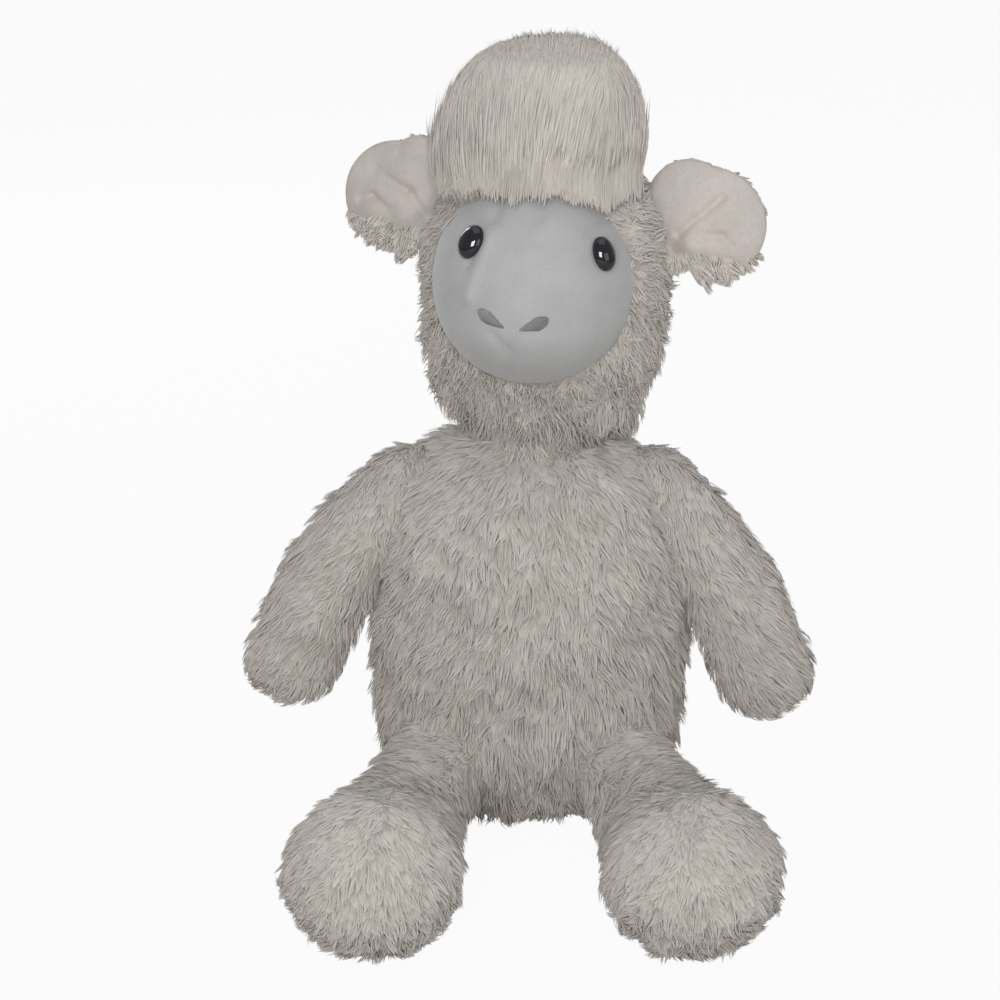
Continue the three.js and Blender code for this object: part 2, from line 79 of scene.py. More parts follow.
NOSTRIL = {"left": (11.2, 73.3), "right": (-8.2, 73.6), "length": 12, "width": 5.4, "slant": 24,
           "stitches": 30}

# Folds of the face cloth in the head's frame: start and end, width, and how far out they go
FACE_FOLDS = (
    ((-15.5, 103.0), (-20.0, 92.0), 1.5, -1.0),
    ((-12.4, 105.0), (-18.0, 80.0), 3.0, 1.4),
    ((-11.0, 120.0), (-12.0, 112.0), 3.0, -1.4),
    ((4.0, 121.0), (6.5, 114.0), 3.4, -1.3),
    ((31.0, 113.0), (27.0, 108.0), 2.6, -1.0),
    ((4.0, 112.0), (12.0, 104.0), 3.5, -0.7),
    ((-6.5, 66.0), (0.0, 59.5), 2.6, -0.8),
    ((2.0, 70.0), (-1.5, 56.0), 2.0, -0.4),
)

# Creases and puffs of the ear linings in the head's frame: start and end, width, and how far out they go
EAR_FOLDS = {
    "right": (((82.5, 99.5), (77, 101.5), 1.3, -1.6), ((77, 101.5), (70.5, 97.5), 1.3, -2.0),
              ((77, 95.5), (76, 95), 4.6, 2.6), ((71, 110), (60.5, 105.5), 1.4, -1.8),
              ((60.5, 105.5), (53.5, 96), 1.4, -1.7), ((63, 107), (62, 107), 2.6, -0.5),
              ((66, 114), (54, 105), 4.0, 2.0), ((72, 104), (62, 96), 4.0, 1.8),
              ((80.5, 122), (80, 122), 3.2, -1.4)),
    "left": (((71.8, 118), (55.6, 101.5), 1.2, -2.2), ((72, 118.5), (71.5, 118), 3.0, -0.5),
             ((74, 112), (62, 101), 4.2, 1.8), ((64, 119), (53, 108), 4.5, 1.4),
             ((64, 102), (73.5, 102.3), 1.2, -1.5), ((73.5, 102.3), (77.5, 98), 1.2, -1.5),
             ((61, 96.5), (73, 97), 3.6, 2.6), ((78, 132), (77, 132), 2.5, -1.2)),
}

# Height on each ear in the head's frame below which the front is furry
EAR_FUR_LINE = {"right": 93.0, "left": 95.0}

# Height in metres that skins and fur keep above the floor
SKIN_CLEARANCE = 0.0015
FUR_CLEARANCE = 0.0008

# Locks of the crown and the fringe: widths in metres, locks on a square millimetre, and locks in all
CROWN_WIDTH = 0.00088
CROWN_DENSITY = 2.0
FRINGE_WIDTH = 0.0008
FRINGE_LOCKS = 2400

# Shares of a long lock's length at the four points of its line
LOCK_SHARES = np.linspace(0, 1, 4)

# The short layer of a coat and the long one over it: bends of a lock, its length and width against the
# coat's own, and how steeply it stands
SHORT_LAYER = {"bends": 2, "reach": 0.8, "broad": 1.5, "steep": 0.6}
LONG_LAYER = {"bends": 3, "reach": 1.05, "broad": 0.95, "steep": 1.0}
LONG_SHARE = 0.3

# Skin that looks back by more than the first has this share of its locks, and they are wider by the last
LOOKS_BACK = 0.25
BACK_SHARE = 0.68
BACK_WIDER = 0.2

# One lock in this many is the middle of a tuft, and a piece of fur has about this many triangles at most
TUFT = 9
MOST_TRIANGLES = 185000

# Tones of each kind of fur at root and tip, and of its backing, against the colours of the body's fur
FUR_TONES = {"body": (1.0, 1.0), "crown": (1.2, 1.06), "ear": (1.35, 1.12)}
BACKING_TONES = {"body": 1.15, "crown": 1.4}

# What each piece's own irregularity adds to the seed
OWN_SEED = {"arm": 20, "leg": 40, "tail": 60, "head": 80, "topknot": 100, "ear": 120}

# Steps that a stuffed skin swells for
SWELL_STEPS = 20

# Inputs and output of a mix node that are its colours
MIX_A, MIX_B, MIX_RESULT = 6, 7, 2

# Corners round a stitch's thread
THREAD_SIDES = 6

# Lamps: name, place and aim in metres, size, power in watts, and colour
LAMPS = (
    ("key_light", (-0.12, -1.26, 0.66), (0, 0.0, 0.17), 0.55, 10.3, (1.0, 0.99, 0.975)),
    ("top_light", (0.15, 0.1, 1.3), (0, 0.05, 0.15), 0.9, 1.2, (0.97, 0.985, 1.0)),
    ("fill_light", (0.9, -0.9, 0.45), (0, 0.0, 0.15), 0.7, 1.5, (1.0, 0.98, 0.96)),
    ("back_light", (-0.45, 1.15, 0.75), (0, 0.05, 0.16), 0.8, 7, (0.985, 0.99, 1.0)),
    ("glint_light", (0.06, -0.95, 0.75), (0, 0.0, 0.27), 0.05, 0.6, (1, 1, 1)),
)

# The camera of the photograph: point it looks at, degrees above the level, distance and focal length
CAMERA = {"target": (-0.013, 0.0473, 0.145), "above": 21, "far": 1.02, "lens": 83.4}


def length_property(name, description, value):
    """A length in metres."""
    return FloatProperty(name=name, description=description, default=value, unit="LENGTH")


def colour_property(name, description, value):
    """A colour in linear light."""
    return FloatVectorProperty(name=name, description=description, default=value, subtype="COLOR",
                               size=3, min=0, max=1)


class LlamaSizes(bpy.types.PropertyGroup):
    """Sizes of the llama's coats"""

    body_pile: length_property("Body pile", "Length of the fur on the body", 0.0115)
    crown_pile: length_property("Topknot pile", "Length of the long fur on the crown", 0.032)
    lock_width: length_property("Lock width", "Width of a lock of fur at its root", 0.00086)
    density: FloatProperty(
        name="Locks per area", description="Locks of fur on a square millimetre of skin", default=1.05,
        min=0.05)
    skin_depth: length_property("Skin depth", "How far the backing lies under the tips of the fur", 0.005)
    floor_radius: length_property("Floor radius", "Radius of the floor that the llama sits on", 4.0)
    seed: IntProperty(name="Seed", description="Number that the fur's irregularity starts from", default=7)


class LlamaColours(bpy.types.PropertyGroup):
    """Colours of the llama's cloths and fittings"""

    # The root colour is darker than the tip: painted shade deep in the fur.
    fur_root: colour_property("Fur root", "Colour deep in the fur", (0.455, 0.420, 0.392))
    fur_tip: colour_property("Fur tip", "Colour at the tips of the fur", (0.655, 0.615, 0.580))
    face: colour_property("Face", "Colour of the short pile on the face", (0.505, 0.508, 0.514))
    lining: colour_property("Ear lining", "Colour of the smooth cloth in the ears", (0.640, 0.585, 0.550))
    thread: colour_property("Thread", "Colour of the embroidery thread", (0.330, 0.330, 0.340))
    eye: colour_property("Eye", "Colour of the plastic eyes", (0.004, 0.005, 0.008))
    washer: colour_property("Washer", "Colour of the washers that hold the eyes", (0.700, 0.700, 0.690))
    floor: colour_property("Floor", "Colour of the floor and backdrop", (0.520, 0.510, 0.495))


def in_toy(points):
    """Toy millimetres to metres in the frame."""
    return (points + HOME) * 0.001


def in_head(points):
    """Millimetres in the head's own frame to metres in the frame."""
    return in_toy(points @ HEAD_TURN.T + NECK)


def from_frame(points):
    """Metres in the frame to toy millimetres."""
    return points * 1000 - HOME


def from_head(points):
    """Metres in the frame to millimetres in the head's own frame."""
    return (from_frame(points) - NECK) @ HEAD_TURN


def mirrored(form, side):
    """A limb's form on one side of the toy; the left one may be bent up or down."""
    lift = form.get("lift_left", 0) if side > 0 else 0
    shares = {"pivot": 0, "bend": 0.5 if form is ARM else 1, "tip": 1}
    places = {key: (form[key][0] * side, form[key][1], form[key][2] + lift * share)
              for key, share in shares.items()}
    return {**form, **places}


def unit(vectors):
    """Vectors of length one."""
    return vectors / np.maximum(np.linalg.norm(vectors, axis=-1, keepdims=True), 1e-9)


def eased(share):
    """A share from 0 to 1 that starts and ends gently."""
    return share * share * (3 - 2 * share)


def egg_points(form, grow, ball):
    """Points of a unit ball moved onto an egg that is grown by a margin."""
    rise = np.clip(ball[:, 2], -1, 1)
    low = rise < 0
    power = np.where(low, 2 / form["round"][0], 2 / form["round"][1])
    reach = np.where(low, form["below"], form["above"])
    level = np.sqrt(np.maximum(1 - rise * rise, 0))
    width = level ** power
    share = np.sign(rise) * np.abs(rise) ** power
    narrow = np.where(low, form.get("narrow", 0) * share * share, 0)
    around = ball[:, :2] / np.maximum(level, 1e-9)[:, None]
    x = form["at"][0] + width * (form["wide"] * (1 - narrow) + grow) * around[:, 0]
    y = form["at"][1] + width * (form["deep"] * (1 - narrow) + grow) * around[:, 1]
    z = form["at"][2] + share * (reach + grow)
    return np.stack([x, y, z], axis=1)


def depth_in_egg(form, grow, points):
    """Below 1 for points inside an egg, 1 on it, and more outside."""
    x, y, z = (points - np.array(form["at"], float)).T
    low = z < 0
    reach = np.where(low, form["below"], form["above"]) + grow
    roundness = np.where(low, form["round"][0], form["round"][1])
    share = np.minimum(np.abs(z) / reach, 1.0)
    narrow = np.where(low, form.get("narrow", 0) * share * share, 0)
    width = np.maximum(1 - share ** roundness, 1e-6) ** (1 / roundness)
    wide = form["wide"] * (1 - narrow) + grow
    deep = form["deep"] * (1 - narrow) + grow
    out = np.sqrt((x / wide) ** 2 + (y / deep) ** 2) / width
    return np.where(np.abs(z) >= reach, 9.0, out)


def path_of(form, t):
    """Centre line, its direction and the radius of a limb at shares t of its length."""
    a, b, c = (np.array(form[key], float) for key in ("pivot", "bend", "tip"))
    t = np.asarray(t, float)[:, None]
    centre = (1 - t) ** 2 * a + 2 * t * (1 - t) * b + t * t * c
    along = unit(2 * (1 - t) * (b - a) + 2 * t * (c - b))
    t = t[:, 0]
    r0, r1, r2 = form["radii"]
    radius = (1 - t) * (1 - 2 * t) * r0 + 4 * t * (1 - t) * r1 + t * (2 * t - 1) * r2
    return centre, along, radius


def limb_points(form, grow, ball, root_cap=0.16, tip_cap=0.22):
    """Points of a unit ball moved onto a limb: a round root, a swelling tube and a round tip."""
    share = 0.5 + np.arcsin(np.clip(ball[:, 2], -1, 1)) / math.pi
    t = np.clip((share - root_cap) / (1 - root_cap - tip_cap), 0, 1)
    centre, along, radius = path_of(form, t)
    radius = radius + grow
    at_root = np.clip(1 - share / root_cap, 0, 1) * math.pi / 2
    at_tip = np.clip(1 - (1 - share) / tip_cap, 0, 1) * math.pi / 2
    forward = radius * (np.sin(at_tip) - np.sin(at_root))
    wide = radius * np.cos(at_tip) * np.cos(at_root)
    flat = form["flat"][0] + (form["flat"][1] - form["flat"][0]) * t
    across = unit(np.cross(along, np.array(form["through"], float)))
    through = unit(np.cross(along, across))
    level = np.maximum(np.hypot(ball[:, 0], ball[:, 1]), 1e-9)
    x = (ball[:, 0] / level * wide)[:, None]
    y = (ball[:, 1] / level * wide * flat)[:, None]
    return centre + along * forward[:, None] + across * x + through * y


def clear_selection():
    """Leaves nothing selected."""
    for item in bpy.context.selected_objects:
        item.select_set(False)
    bpy.context.view_layer.objects.active = None


def make_active(item):
    """Selects one object alone."""
    clear_selection()
    item.select_set(True)
    bpy.context.view_layer.objects.active = item


def corners(item):
    """The points of an object's mesh as an array."""
    points = np.empty(len(item.data.vertices) * 3)
    item.data.vertices.foreach_get("co", points)
    return points.reshape(-1, 3)


def normals_of(item):
    """The normals at the points of an object's mesh as an array."""
    normals = np.empty(len(item.data.vertices) * 3)
    item.data.vertices.foreach_get("normal", normals)
    return normals.reshape(-1, 3)


def set_corners(item, points):
    """Moves the points of an object's mesh."""
    item.data.vertices.foreach_set("co", np.asarray(points, float).ravel())
    item.data.update()


def turn_outward():
    """Turns the faces of the active object outward and shades it smooth."""
    bpy.ops.object.mode_set(mode="EDIT")
    bpy.ops.mesh.select_all(action="SELECT")
    bpy.ops.mesh.normals_make_consistent(inside=False)
    bpy.ops.object.mode_set(mode="OBJECT")
    bpy.ops.object.shade_smooth()


def join(item, other):
    """Adds an object's mesh to another's."""
    make_active(item)
    other.select_set(True)
    bpy.ops.object.join()


def ball_shaped(name, segments, rings, shaping):
    """A ball primitive whose points are moved onto a shape."""
    clear_selection()
    bpy.ops.mesh.primitive_uv_sphere_add(segments=segments, ring_count=rings, radius=1)
    item = bpy.context.active_object
    item.name = name
    item.data.name = name
    set_corners(item, shaping(corners(item)))
    turn_outward()
    return item


def puff(item, voxel, most):
    """Swells a stuffed skin by cloth pressure, and lets no point move further than a limit."""
    make_active(item)
    remesh = item.modifiers.new("even", "REMESH")
    remesh.mode = "VOXEL"
    remesh.voxel_size = voxel
    bpy.ops.object.modifier_apply(modifier=remesh.name)
    start = corners(item)
    cloth = item.modifiers.new("stuffed", "CLOTH")
    cloth.settings.quality = 4
    cloth.settings.use_pressure = True
    cloth.settings.uniform_pressure_force = 4
    cloth.settings.effector_weights.gravity = 0
    cloth.point_cache.frame_start = 1
    cloth.point_cache.frame_end = SWELL_STEPS
    for step in range(1, SWELL_STEPS + 1):
        bpy.context.scene.frame_set(step)
    bpy.ops.object.modifier_apply(modifier=cloth.name)
    bpy.context.scene.frame_set(1)
    moved = corners(item) - start
    moved -= moved.mean(axis=0)
    far = np.linalg.norm(moved, axis=1, keepdims=True)
    set_corners(item, start + moved * np.minimum(1, most / np.maximum(far, 1e-9)))
    smooth = item.modifiers.new("settle", "SMOOTH")
    smooth.factor = 0.5
    smooth.iterations = 4
    bpy.ops.object.modifier_apply(modifier=smooth.name)
    finer = item.modifiers.new("finer", "SUBSURF")
    finer.levels = 1
    finer.render_levels = 1
    bpy.ops.object.modifier_apply(modifier=finer.name)
    bpy.ops.object.shade_smooth()


def lumps(item, height, seed):
    """Small hollows and humps in a stuffed skin, so that its fur lies in tufts, all above the floor."""
    points = corners(item)
    bumps = waves(points, 0.021, seed) + 0.55 * waves(points, 0.0105, seed + 1)
    points = points + normals_of(item) * (height * bumps)[:, None]
    points[:, 2] = np.maximum(points[:, 2], SKIN_CLEARANCE)
    set_corners(item, points)


def stuffed(name, grain, shaping, voxel, most, lump, seed):
    """The lumpy skin of a stuffed piece."""
    skin = ball_shaped(name, *grain, shaping)
    puff(skin, voxel, most)
    lumps(skin, lump, seed)
    return skin


def node(tree, kind, at, **values):
    """A shader node with its settings and input values."""
    made = tree.nodes.new(kind)
    made.location = at
    for key, value in values.items():
        if key in made.inputs:
            made.inputs[key].default_value = value
        else:
            setattr(made, key, value)
    return made


def wire(tree, *links):
    """Joins nodes: each link is a node, its output, another node and its input."""
    for source, output, target, socket in links:
        tree.links.new(source.outputs[output], target.inputs[socket])


def new_material(name, roughness, specular, sheen=0.0):
    """A material with a principled shader. Returns it with its tree and shader."""
    material = bpy.data.materials.new(name)
    material.use_nodes = True
    tree = material.node_tree
    shader = tree.nodes["Principled BSDF"]
    shader.inputs["Roughness"].default_value = roughness
    shader.inputs["Specular IOR Level"].default_value = specular
    shader.inputs["Sheen Weight"].default_value = sheen
    shader.inputs["Sheen Roughness"].default_value = 0.5
    return material, tree, shader


def ramp(tree, at, stops):
    """A colour ramp through given places and colours."""
    made = tree.nodes.new("ShaderNodeValToRGB")
    made.location = at
    band = made.color_ramp.elements
    while len(band) < len(stops):
        band.new(0.5)
    for element, (place, colour) in zip(band, stops):
        element.position = place
        element.color = (*colour, 1)
    return made


def multiplied(tree, at):
    """A node that multiplies two colours."""
    made = node(tree, "ShaderNodeMix", at, data_type="RGBA", blend_type="MULTIPLY")
    made.inputs[0].default_value = 1
    return made


def shade(colour, factor):
    """A colour made darker or paler."""
    return tuple(min(1.0, channel * factor) for channel in colour)


def fur_material(name, root, tip):
    """Fur whose colour runs from a darker root, painted shade deep in the fur, to a paler tip, each lock in
    its own tone.
    """
    material, tree, shader = new_material(name, 0.8, 0.15, 0.1)
    strand = node(tree, "ShaderNodeUVMap", (-900, 0), uv_map="OFBake")
    split = node(tree, "ShaderNodeSeparateXYZ", (-720, 0))
    middle = tuple((a + b) / 2 for a, b in zip(root, tip))
    # Darker towards the root: painted shade deep in the fur; a little paler at the very tip.
    length = ramp(tree, (-520, 120), [(0, root), (0.35, middle), (0.8, tip), (1, shade(tip, 1.06))])
    tone = ramp(tree, (-520, -120), [(0, (0.80, 0.79, 0.78)), (0.35, (0.93, 0.925, 0.915)),
                                     (0.7, (1, 1, 1)), (1, (1.0, 0.985, 0.955))])
    both = multiplied(tree, (-220, 60))
    wire(tree, (strand, "UV", split, 0), (split, "Y", length, "Fac"), (split, "X", tone, "Fac"),
         (length, "Color", both, MIX_A), (tone, "Color", both, MIX_B),
         (both, MIX_RESULT, shader, "Base Color"))
    return material


def cloth_material(name, colour, dark, scale, bump, roughness=0.85, sheen=0.4, painted_shade_below=None):
    """Short pile or woven cloth: mottled colour, fine nap and a soft bump, in object coordinates.

    A painted shade below is two heights in metres and the share of the colour that is left at the lower
    one: the colour is darkened downwards between them as painted shade.
    """
    material, tree, shader = new_material(name, roughness, 0.2, sheen)
    place = node(tree, "ShaderNodeTexCoord", (-1100, 0))
    cloudy = node(tree, "ShaderNodeTexNoise", (-880, 200), Scale=scale * 0.06, Detail=3.0, Roughness=0.55)
    nap = node(tree, "ShaderNodeTexNoise", (-880, -60), Scale=scale, Detail=4.0, Roughness=0.65)
    tone = ramp(tree, (-640, 200), [(0.3, dark), (0.62, colour)])
    grain = ramp(tree, (-640, -60), [(0.25, (0.86, 0.86, 0.86)), (0.7, (1, 1, 1))])
    both = multiplied(tree, (-320, 120))
    raised = node(tree, "ShaderNodeBump", (-320, -160), Strength=bump, Distance=0.0006)
    wire(tree, (place, "Object", cloudy, "Vector"), (place, "Object", nap, "Vector"),
         (cloudy, "Fac", tone, "Fac"), (nap, "Fac", grain, "Fac"),
         (tone, "Color", both, MIX_A), (grain, "Color", both, MIX_B),
         (nap, "Fac", raised, "Height"), (raised, "Normal", shader, "Normal"))
    if painted_shade_below is None:
        wire(tree, (both, MIX_RESULT, shader, "Base Color"))
    else:
        # The colour is darkened below the upper height towards the lower one: painted shade.
        split = node(tree, "ShaderNodeSeparateXYZ", (-880, -320))
        level = node(tree, "ShaderNodeMapRange", (-640, -320))
        level.inputs["From Min"].default_value, level.inputs["From Max"].default_value = painted_shade_below[0]
        level.inputs["To Min"].default_value, level.inputs["To Max"].default_value = painted_shade_below[1], 1.0
        level.interpolation_type = "SMOOTHSTEP"
        painted_shade_colour = node(tree, "ShaderNodeVectorMath", (-140, -40), operation="SCALE")
        wire(tree, (place, "Object", split, 0), (split, "Z", level, "Value"),
             (both, MIX_RESULT, painted_shade_colour, 0), (level, "Result", painted_shade_colour, "Scale"),
             (painted_shade_colour, "Vector", shader, "Base Color"))
    return material


def plastic_material(name, colour, roughness, coat):
    """Moulded plastic with a faint unevenness in its colour and gloss."""
    material, tree, shader = new_material(name, roughness, 0.5)
    shader.inputs["Coat Weight"].default_value = coat
    shader.inputs["Coat Roughness"].default_value = 0.04
    place = node(tree, "ShaderNodeTexCoord", (-700, 0))
    cloudy = node(tree, "ShaderNodeTexNoise", (-500, 0), Scale=260.0, Detail=3.0)
    tone = ramp(tree, (-300, 0), [(0.3, shade(colour, 0.8)), (0.7, shade(colour, 1.15))])
    wire(tree, (place, "Object", cloudy, "Vector"), (cloudy, "Fac", tone, "Fac"),
         (tone, "Color", shader, "Base Color"))
    return material


def fur_of(kind):
    """The fur material of a coat, made once: body, crown or ear."""
    colours = bpy.context.scene.llama_colours
    name = f"{kind}_locks"
    root, tip = shade(colours.fur_root, FUR_TONES[kind][0]), shade(colours.fur_tip, FUR_TONES[kind][1])
    return bpy.data.materials.get(name) or fur_material(name, root, tip)


def backing_material(kind="body"):
    """The knitted backing that shows between the locks, made once."""
    name = f"{kind}_backing"
    root = shade(bpy.context.scene.llama_colours.fur_root, BACKING_TONES[kind])
    found = bpy.data.materials.get(name)
    return found or cloth_material(name, root, shade(root, 0.85), scale=900.0, bump=0.5)


def set_material(item, material):
    """Gives an object one material."""
    item.data.materials.clear()
    item.data.materials.append(material)


def scatter(item, per_mm2, rng, keep=None):
    """Random roots on a skin: points and normals in metres."""
    mesh = item.data
    mesh.calc_loop_triangles()
    count = len(mesh.loop_triangles)
    index = np.empty(count * 3, np.int32)
    mesh.loop_triangles.foreach_get("vertices", index)
    index = index.reshape(-1, 3)
    points, normals = corners(item), normals_of(item)
    a, b, c = (points[index[:, k]] for k in range(3))
    area = np.linalg.norm(np.cross(b - a, c - a), axis=1) / 2
    total = area.sum() * 1e6
    number = int(total * per_mm2)
    along = (np.arange(number) + rng.random(number)) / number * area.sum()
    chosen = np.minimum(np.searchsorted(np.cumsum(area), along), count - 1)
    u, v = rng.random(number), rng.random(number)
    over = u + v > 1
    u[over], v[over] = 1 - u[over], 1 - v[over]
    u, v = u[:, None], v[:, None]
    root = a[chosen] * (1 - u - v) + b[chosen] * u + c[chosen] * v
    first, second, third = (normals[index[chosen, k]] for k in range(3))
    normal = unit(first * (1 - u - v) + second * u + third * v)
    if keep is not None:
        stays = keep(root, normal)
        root, normal = root[stays], normal[stays]
    return root, normal


def waves(points, scale, seed):
    """Smooth values about zero that vary over space, one for each point."""
    rng = np.random.default_rng(seed)
    total = np.zeros(len(points))
    for turn in range(5):
        direction = unit(rng.normal(size=3)) * (2 * math.pi / scale) * (0.7 + 0.25 * turn)
        total += np.sin(points @ direction + rng.random() * 6.283) / (1 + 0.35 * turn)
    return total / 2.4


def scattering(normal, amount):
    """The way fur on a rounded side is lit: light that passes through comes from the front or back."""
    ahead = np.clip(0.7 - 3 * normal[:, 1], -1, 1)
    share = amount * np.clip(1 - np.abs(normal[:, 1]), 0, 1)
    return unit(normal + np.stack([0 * share, -share * ahead, 0.25 * share], axis=1))


def lock_points(line, normal, width, own_light=0.5, scattered=0.5, across=None):
    """Corner points of closed three-sided locks along their lines, root to tip, and how they are lit."""
    ahead = unit(line[:, -1] - line[:, 0])
    side = unit(np.cross(ahead, normal if across is None else across))
    lift = unit(np.cross(side, ahead))
    flat = 0.6
    count, levels = line.shape[:2]
    rings = levels - 2
    swell = np.array({1: (1.0,), 2: (1.0, 0.8), 3: (0.95, 1.0, 0.7)}[rings])
    angles = np.radians([90, 210, 330])
    half = (width[:, None] * swell[None, :] / 2)[:, :, None, None]
    ring = side[:, None, None, :] * np.cos(angles)[None, None, :, None]
    ring = ring + lift[:, None, None, :] * (flat * np.sin(angles))[None, None, :, None]
    points = np.empty((count, rings * 3 + 2, 3))
    points[:, 0] = line[:, 0]
    points[:, 1:-1] = (line[:, 1:-1, None, :] + ring * half).reshape(count, rings * 3, 3)
    points[:, -1] = line[:, -1]
    round_about = side[:, None, :] * np.cos(angles)[None, :, None]
    round_about = round_about + lift[:, None, :] * (np.sin(angles) / flat)[None, :, None]
    turned_away = np.clip(normal[:, 1], 0, 1) + 0.8 * np.clip(-normal[:, 2], 0, 1)
    weight = (own_light + 3 * turned_away)[:, None, None]
    facing = np.repeat(scattering(normal, scattered)[:, None, :], rings * 3 + 2, axis=1)
    facing[:, 1:-1] += np.tile(weight * round_about, (1, rings, 1))
    return points, unit(facing)


def lock_faces(rings):
    """Triangles of one lock, and how high each of its corners is from root to tip."""
    faces = []
    for k in range(3):
        n = (k + 1) % 3
        faces.append((0, 1 + k, 1 + n))
        for low in range(1, rings * 3 - 2, 3):
            faces.append((low + k, low + 3 + n, low + n))
            faces.append((low + k, low + 3 + k, low + 3 + n))
        top = rings * 3 - 2
        faces.append((top + k, rings * 3 + 1, top + n))
    height = np.concatenate([[0], np.repeat(np.arange(1, rings + 1), 3) / (rings + 1), [1]])
    return np.array(faces, np.int32), height


def triangles_of(points):
    """Triangles of one lock in an array of the locks' corner points."""
    return points.shape[1] * 2 - 4


def lock_mesh(name, layers):
    """One mesh of many locks, from layers of corner points, their normals and tones."""
    points, facings, index, places = [], [], [], []
    start = 0
    for corner_points, facing, tone in layers:
        count, per = corner_points.shape[:2]
        faces, height = lock_faces((per - 2) // 3)
        local = (faces[None] + (np.arange(count, dtype=np.int32) * per)[:, None, None]).reshape(-1)
        points.append(corner_points.reshape(-1, 3))
        facings.append(facing.reshape(-1, 3))
        index.append(local + start)
        tones = np.clip(tone, 0.001, 0.999)[local // per]
        places.append(np.stack([tones, 0.002 + 0.996 * height[local % per]], axis=1))
        start += count * per
    points, index, places = np.concatenate(points), np.concatenate(index), np.concatenate(places)
    triangles = len(index) // 3
    mesh = bpy.data.meshes.new(name)
    mesh.vertices.add(len(points))
    mesh.vertices.foreach_set("co", points.ravel())
    mesh.loops.add(len(index))
    mesh.loops.foreach_set("vertex_index", index)
    mesh.polygons.add(triangles)
    mesh.polygons.foreach_set("loop_start", np.arange(0, len(index), 3, dtype=np.int32))
    mesh.polygons.foreach_set("loop_total", np.full(triangles, 3, np.int32))
    mesh.polygons.foreach_set("use_smooth", np.ones(triangles, bool))
    uv = mesh.uv_layers.new(name="OFBake")
    uv.data.foreach_set("uv", places.astype(np.float32).ravel())
    mesh.update()
    mesh.validate()
    mesh.normals_split_custom_set_from_vertices(np.concatenate(facings))
    item = bpy.data.objects.new(name, mesh)
    bpy.context.scene.collection.objects.link(item)
    return item


def locks(root, normal, comb, length, width, rng, angles, bends, clump, curl=0.12, limit=None,
          own_light=0.5):
    """Fur on a skin: each lock leaves its root, leans over as it is combed and gathers with others."""
    count = len(root)
    comb = unit(comb - normal * np.sum(comb * normal, axis=1, keepdims=True))
    side = np.cross(comb, normal)
    comb = unit(comb + side * (rng.normal(0, 1, count) * curl)[:, None])
    side = np.cross(comb, normal)
    levels = bends + 1
    line = np.empty((count, levels, 3))
    line[:, 0] = root - normal * 0.0005
    rise = np.radians(angles[0] + rng.normal(0, 6, count))
    fall = np.radians(angles[1] + rng.normal(0, 6, count))
    sway = rng.normal(0, curl, count)
    step = (length / bends)[:, None]
    for level in range(1, levels):
        share = (level - 0.5) / bends
        angle = rise + (fall - rise) * share
        heading = comb * np.cos(angle)[:, None] + normal * np.sin(angle)[:, None]
        heading = heading + side * (sway * math.sin(share * 5) * 2)[:, None]
        line[:, level] = line[:, level - 1] + unit(heading) * step
    seeds = rng.choice(count, max(1, count // TUFT), replace=False)
    tree = kdtree.KDTree(len(seeds))
    for place, seed in enumerate(seeds):
        tree.insert(root[seed], place)
    tree.balance()
    nearest = np.array([seeds[tree.find(spot)[1]] for spot in root])
    pull = clump * (0.6 + 0.6 * rng.random(count))
    for level in range(1, levels):
        share = (level / bends) ** 1.2
        line[:, level] += (line[nearest, level] - line[:, level]) * (pull * share)[:, None]
    if limit is not None:
        line[:, 1:] = limit(line[:, 1:].reshape(-1, 3)).reshape(count, levels - 1, 3)
    line[:, :, 2] = np.maximum(line[:, :, 2], FUR_CLEARANCE)
    tone = 0.55 + 0.2 * waves(root, 0.045, 3) + 0.4 * (rng.random(count)[nearest] - 0.5)
    tone = tone + 0.25 * (rng.random(count) - 0.5)
    return *lock_points(line, normal, width, own_light), tone


def finish_piece(item, body, material):
    """Gives a piece its material and its body."""
    set_material(item, material)
    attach(item, body)


def coat(name, skin, body, comb_of, rng, keep=None, share=1.0, pile=1.0, kind="body", angles=(48, 10),
         low_top=0.55, clump=0.8, **style):
    """A coat of fur on a skin: short locks under long ones, in pieces of a size that can be handled."""
    sizes = bpy.context.scene.llama_sizes
    root, normal = scatter(skin, sizes.density * share, rng, keep)
    behind = normal[:, 1] > LOOKS_BACK
    stays = ~behind | (rng.random(len(root)) < BACK_SHARE)
    root, normal, behind = root[stays], normal[stays], behind[stays]
    comb = comb_of(root, normal)
    ragged = (1 + 0.16 * waves(root, 0.019, 5)) * (pile(root) if callable(pile) else pile)
    steep = 1 - low_top * np.clip(normal[:, 2], 0, 1)
    longer = rng.random(len(root)) < LONG_SHARE
    layers = []
    for chosen, layer in ((~longer, SHORT_LAYER), (longer, LONG_LAYER)):
        count = int(chosen.sum())
        length = sizes.body_pile * layer["reach"] * ragged[chosen] * (0.72 + 0.5 * rng.random(count))
        breadth = sizes.lock_width * layer["broad"] * (0.7 + 0.6 * rng.random(count))
        breadth = breadth * (1 + BACK_WIDER * behind[chosen])
        lean = tuple(angle * layer["steep"] * steep[chosen] for angle in angles)
        made = locks(root[chosen], normal[chosen], comb[chosen], length, breadth, rng, lean,
                     layer["bends"], clump * (0.6 + 0.4 * layer["steep"]), **style)
        layers.append((root[chosen], *made))
    total = sum(len(points) * triangles_of(points) for _, points, _, _ in layers)
    pieces = math.ceil(total / MOST_TRIANGLES)
    edges = np.quantile(root[:, 0], np.linspace(0, 1, pieces + 1))
    for piece in range(pieces):
        part = []
        for place, *made in layers:
            across = place[:, 0]
            inside = (across >= edges[piece]) & (across < edges[piece + 1] + (piece == pieces - 1))
            part.append([values[inside] for values in made])
        made = lock_mesh(f"{name}_{piece + 1}" if pieces > 1 else name, part)
        finish_piece(made, body, fur_of(kind))


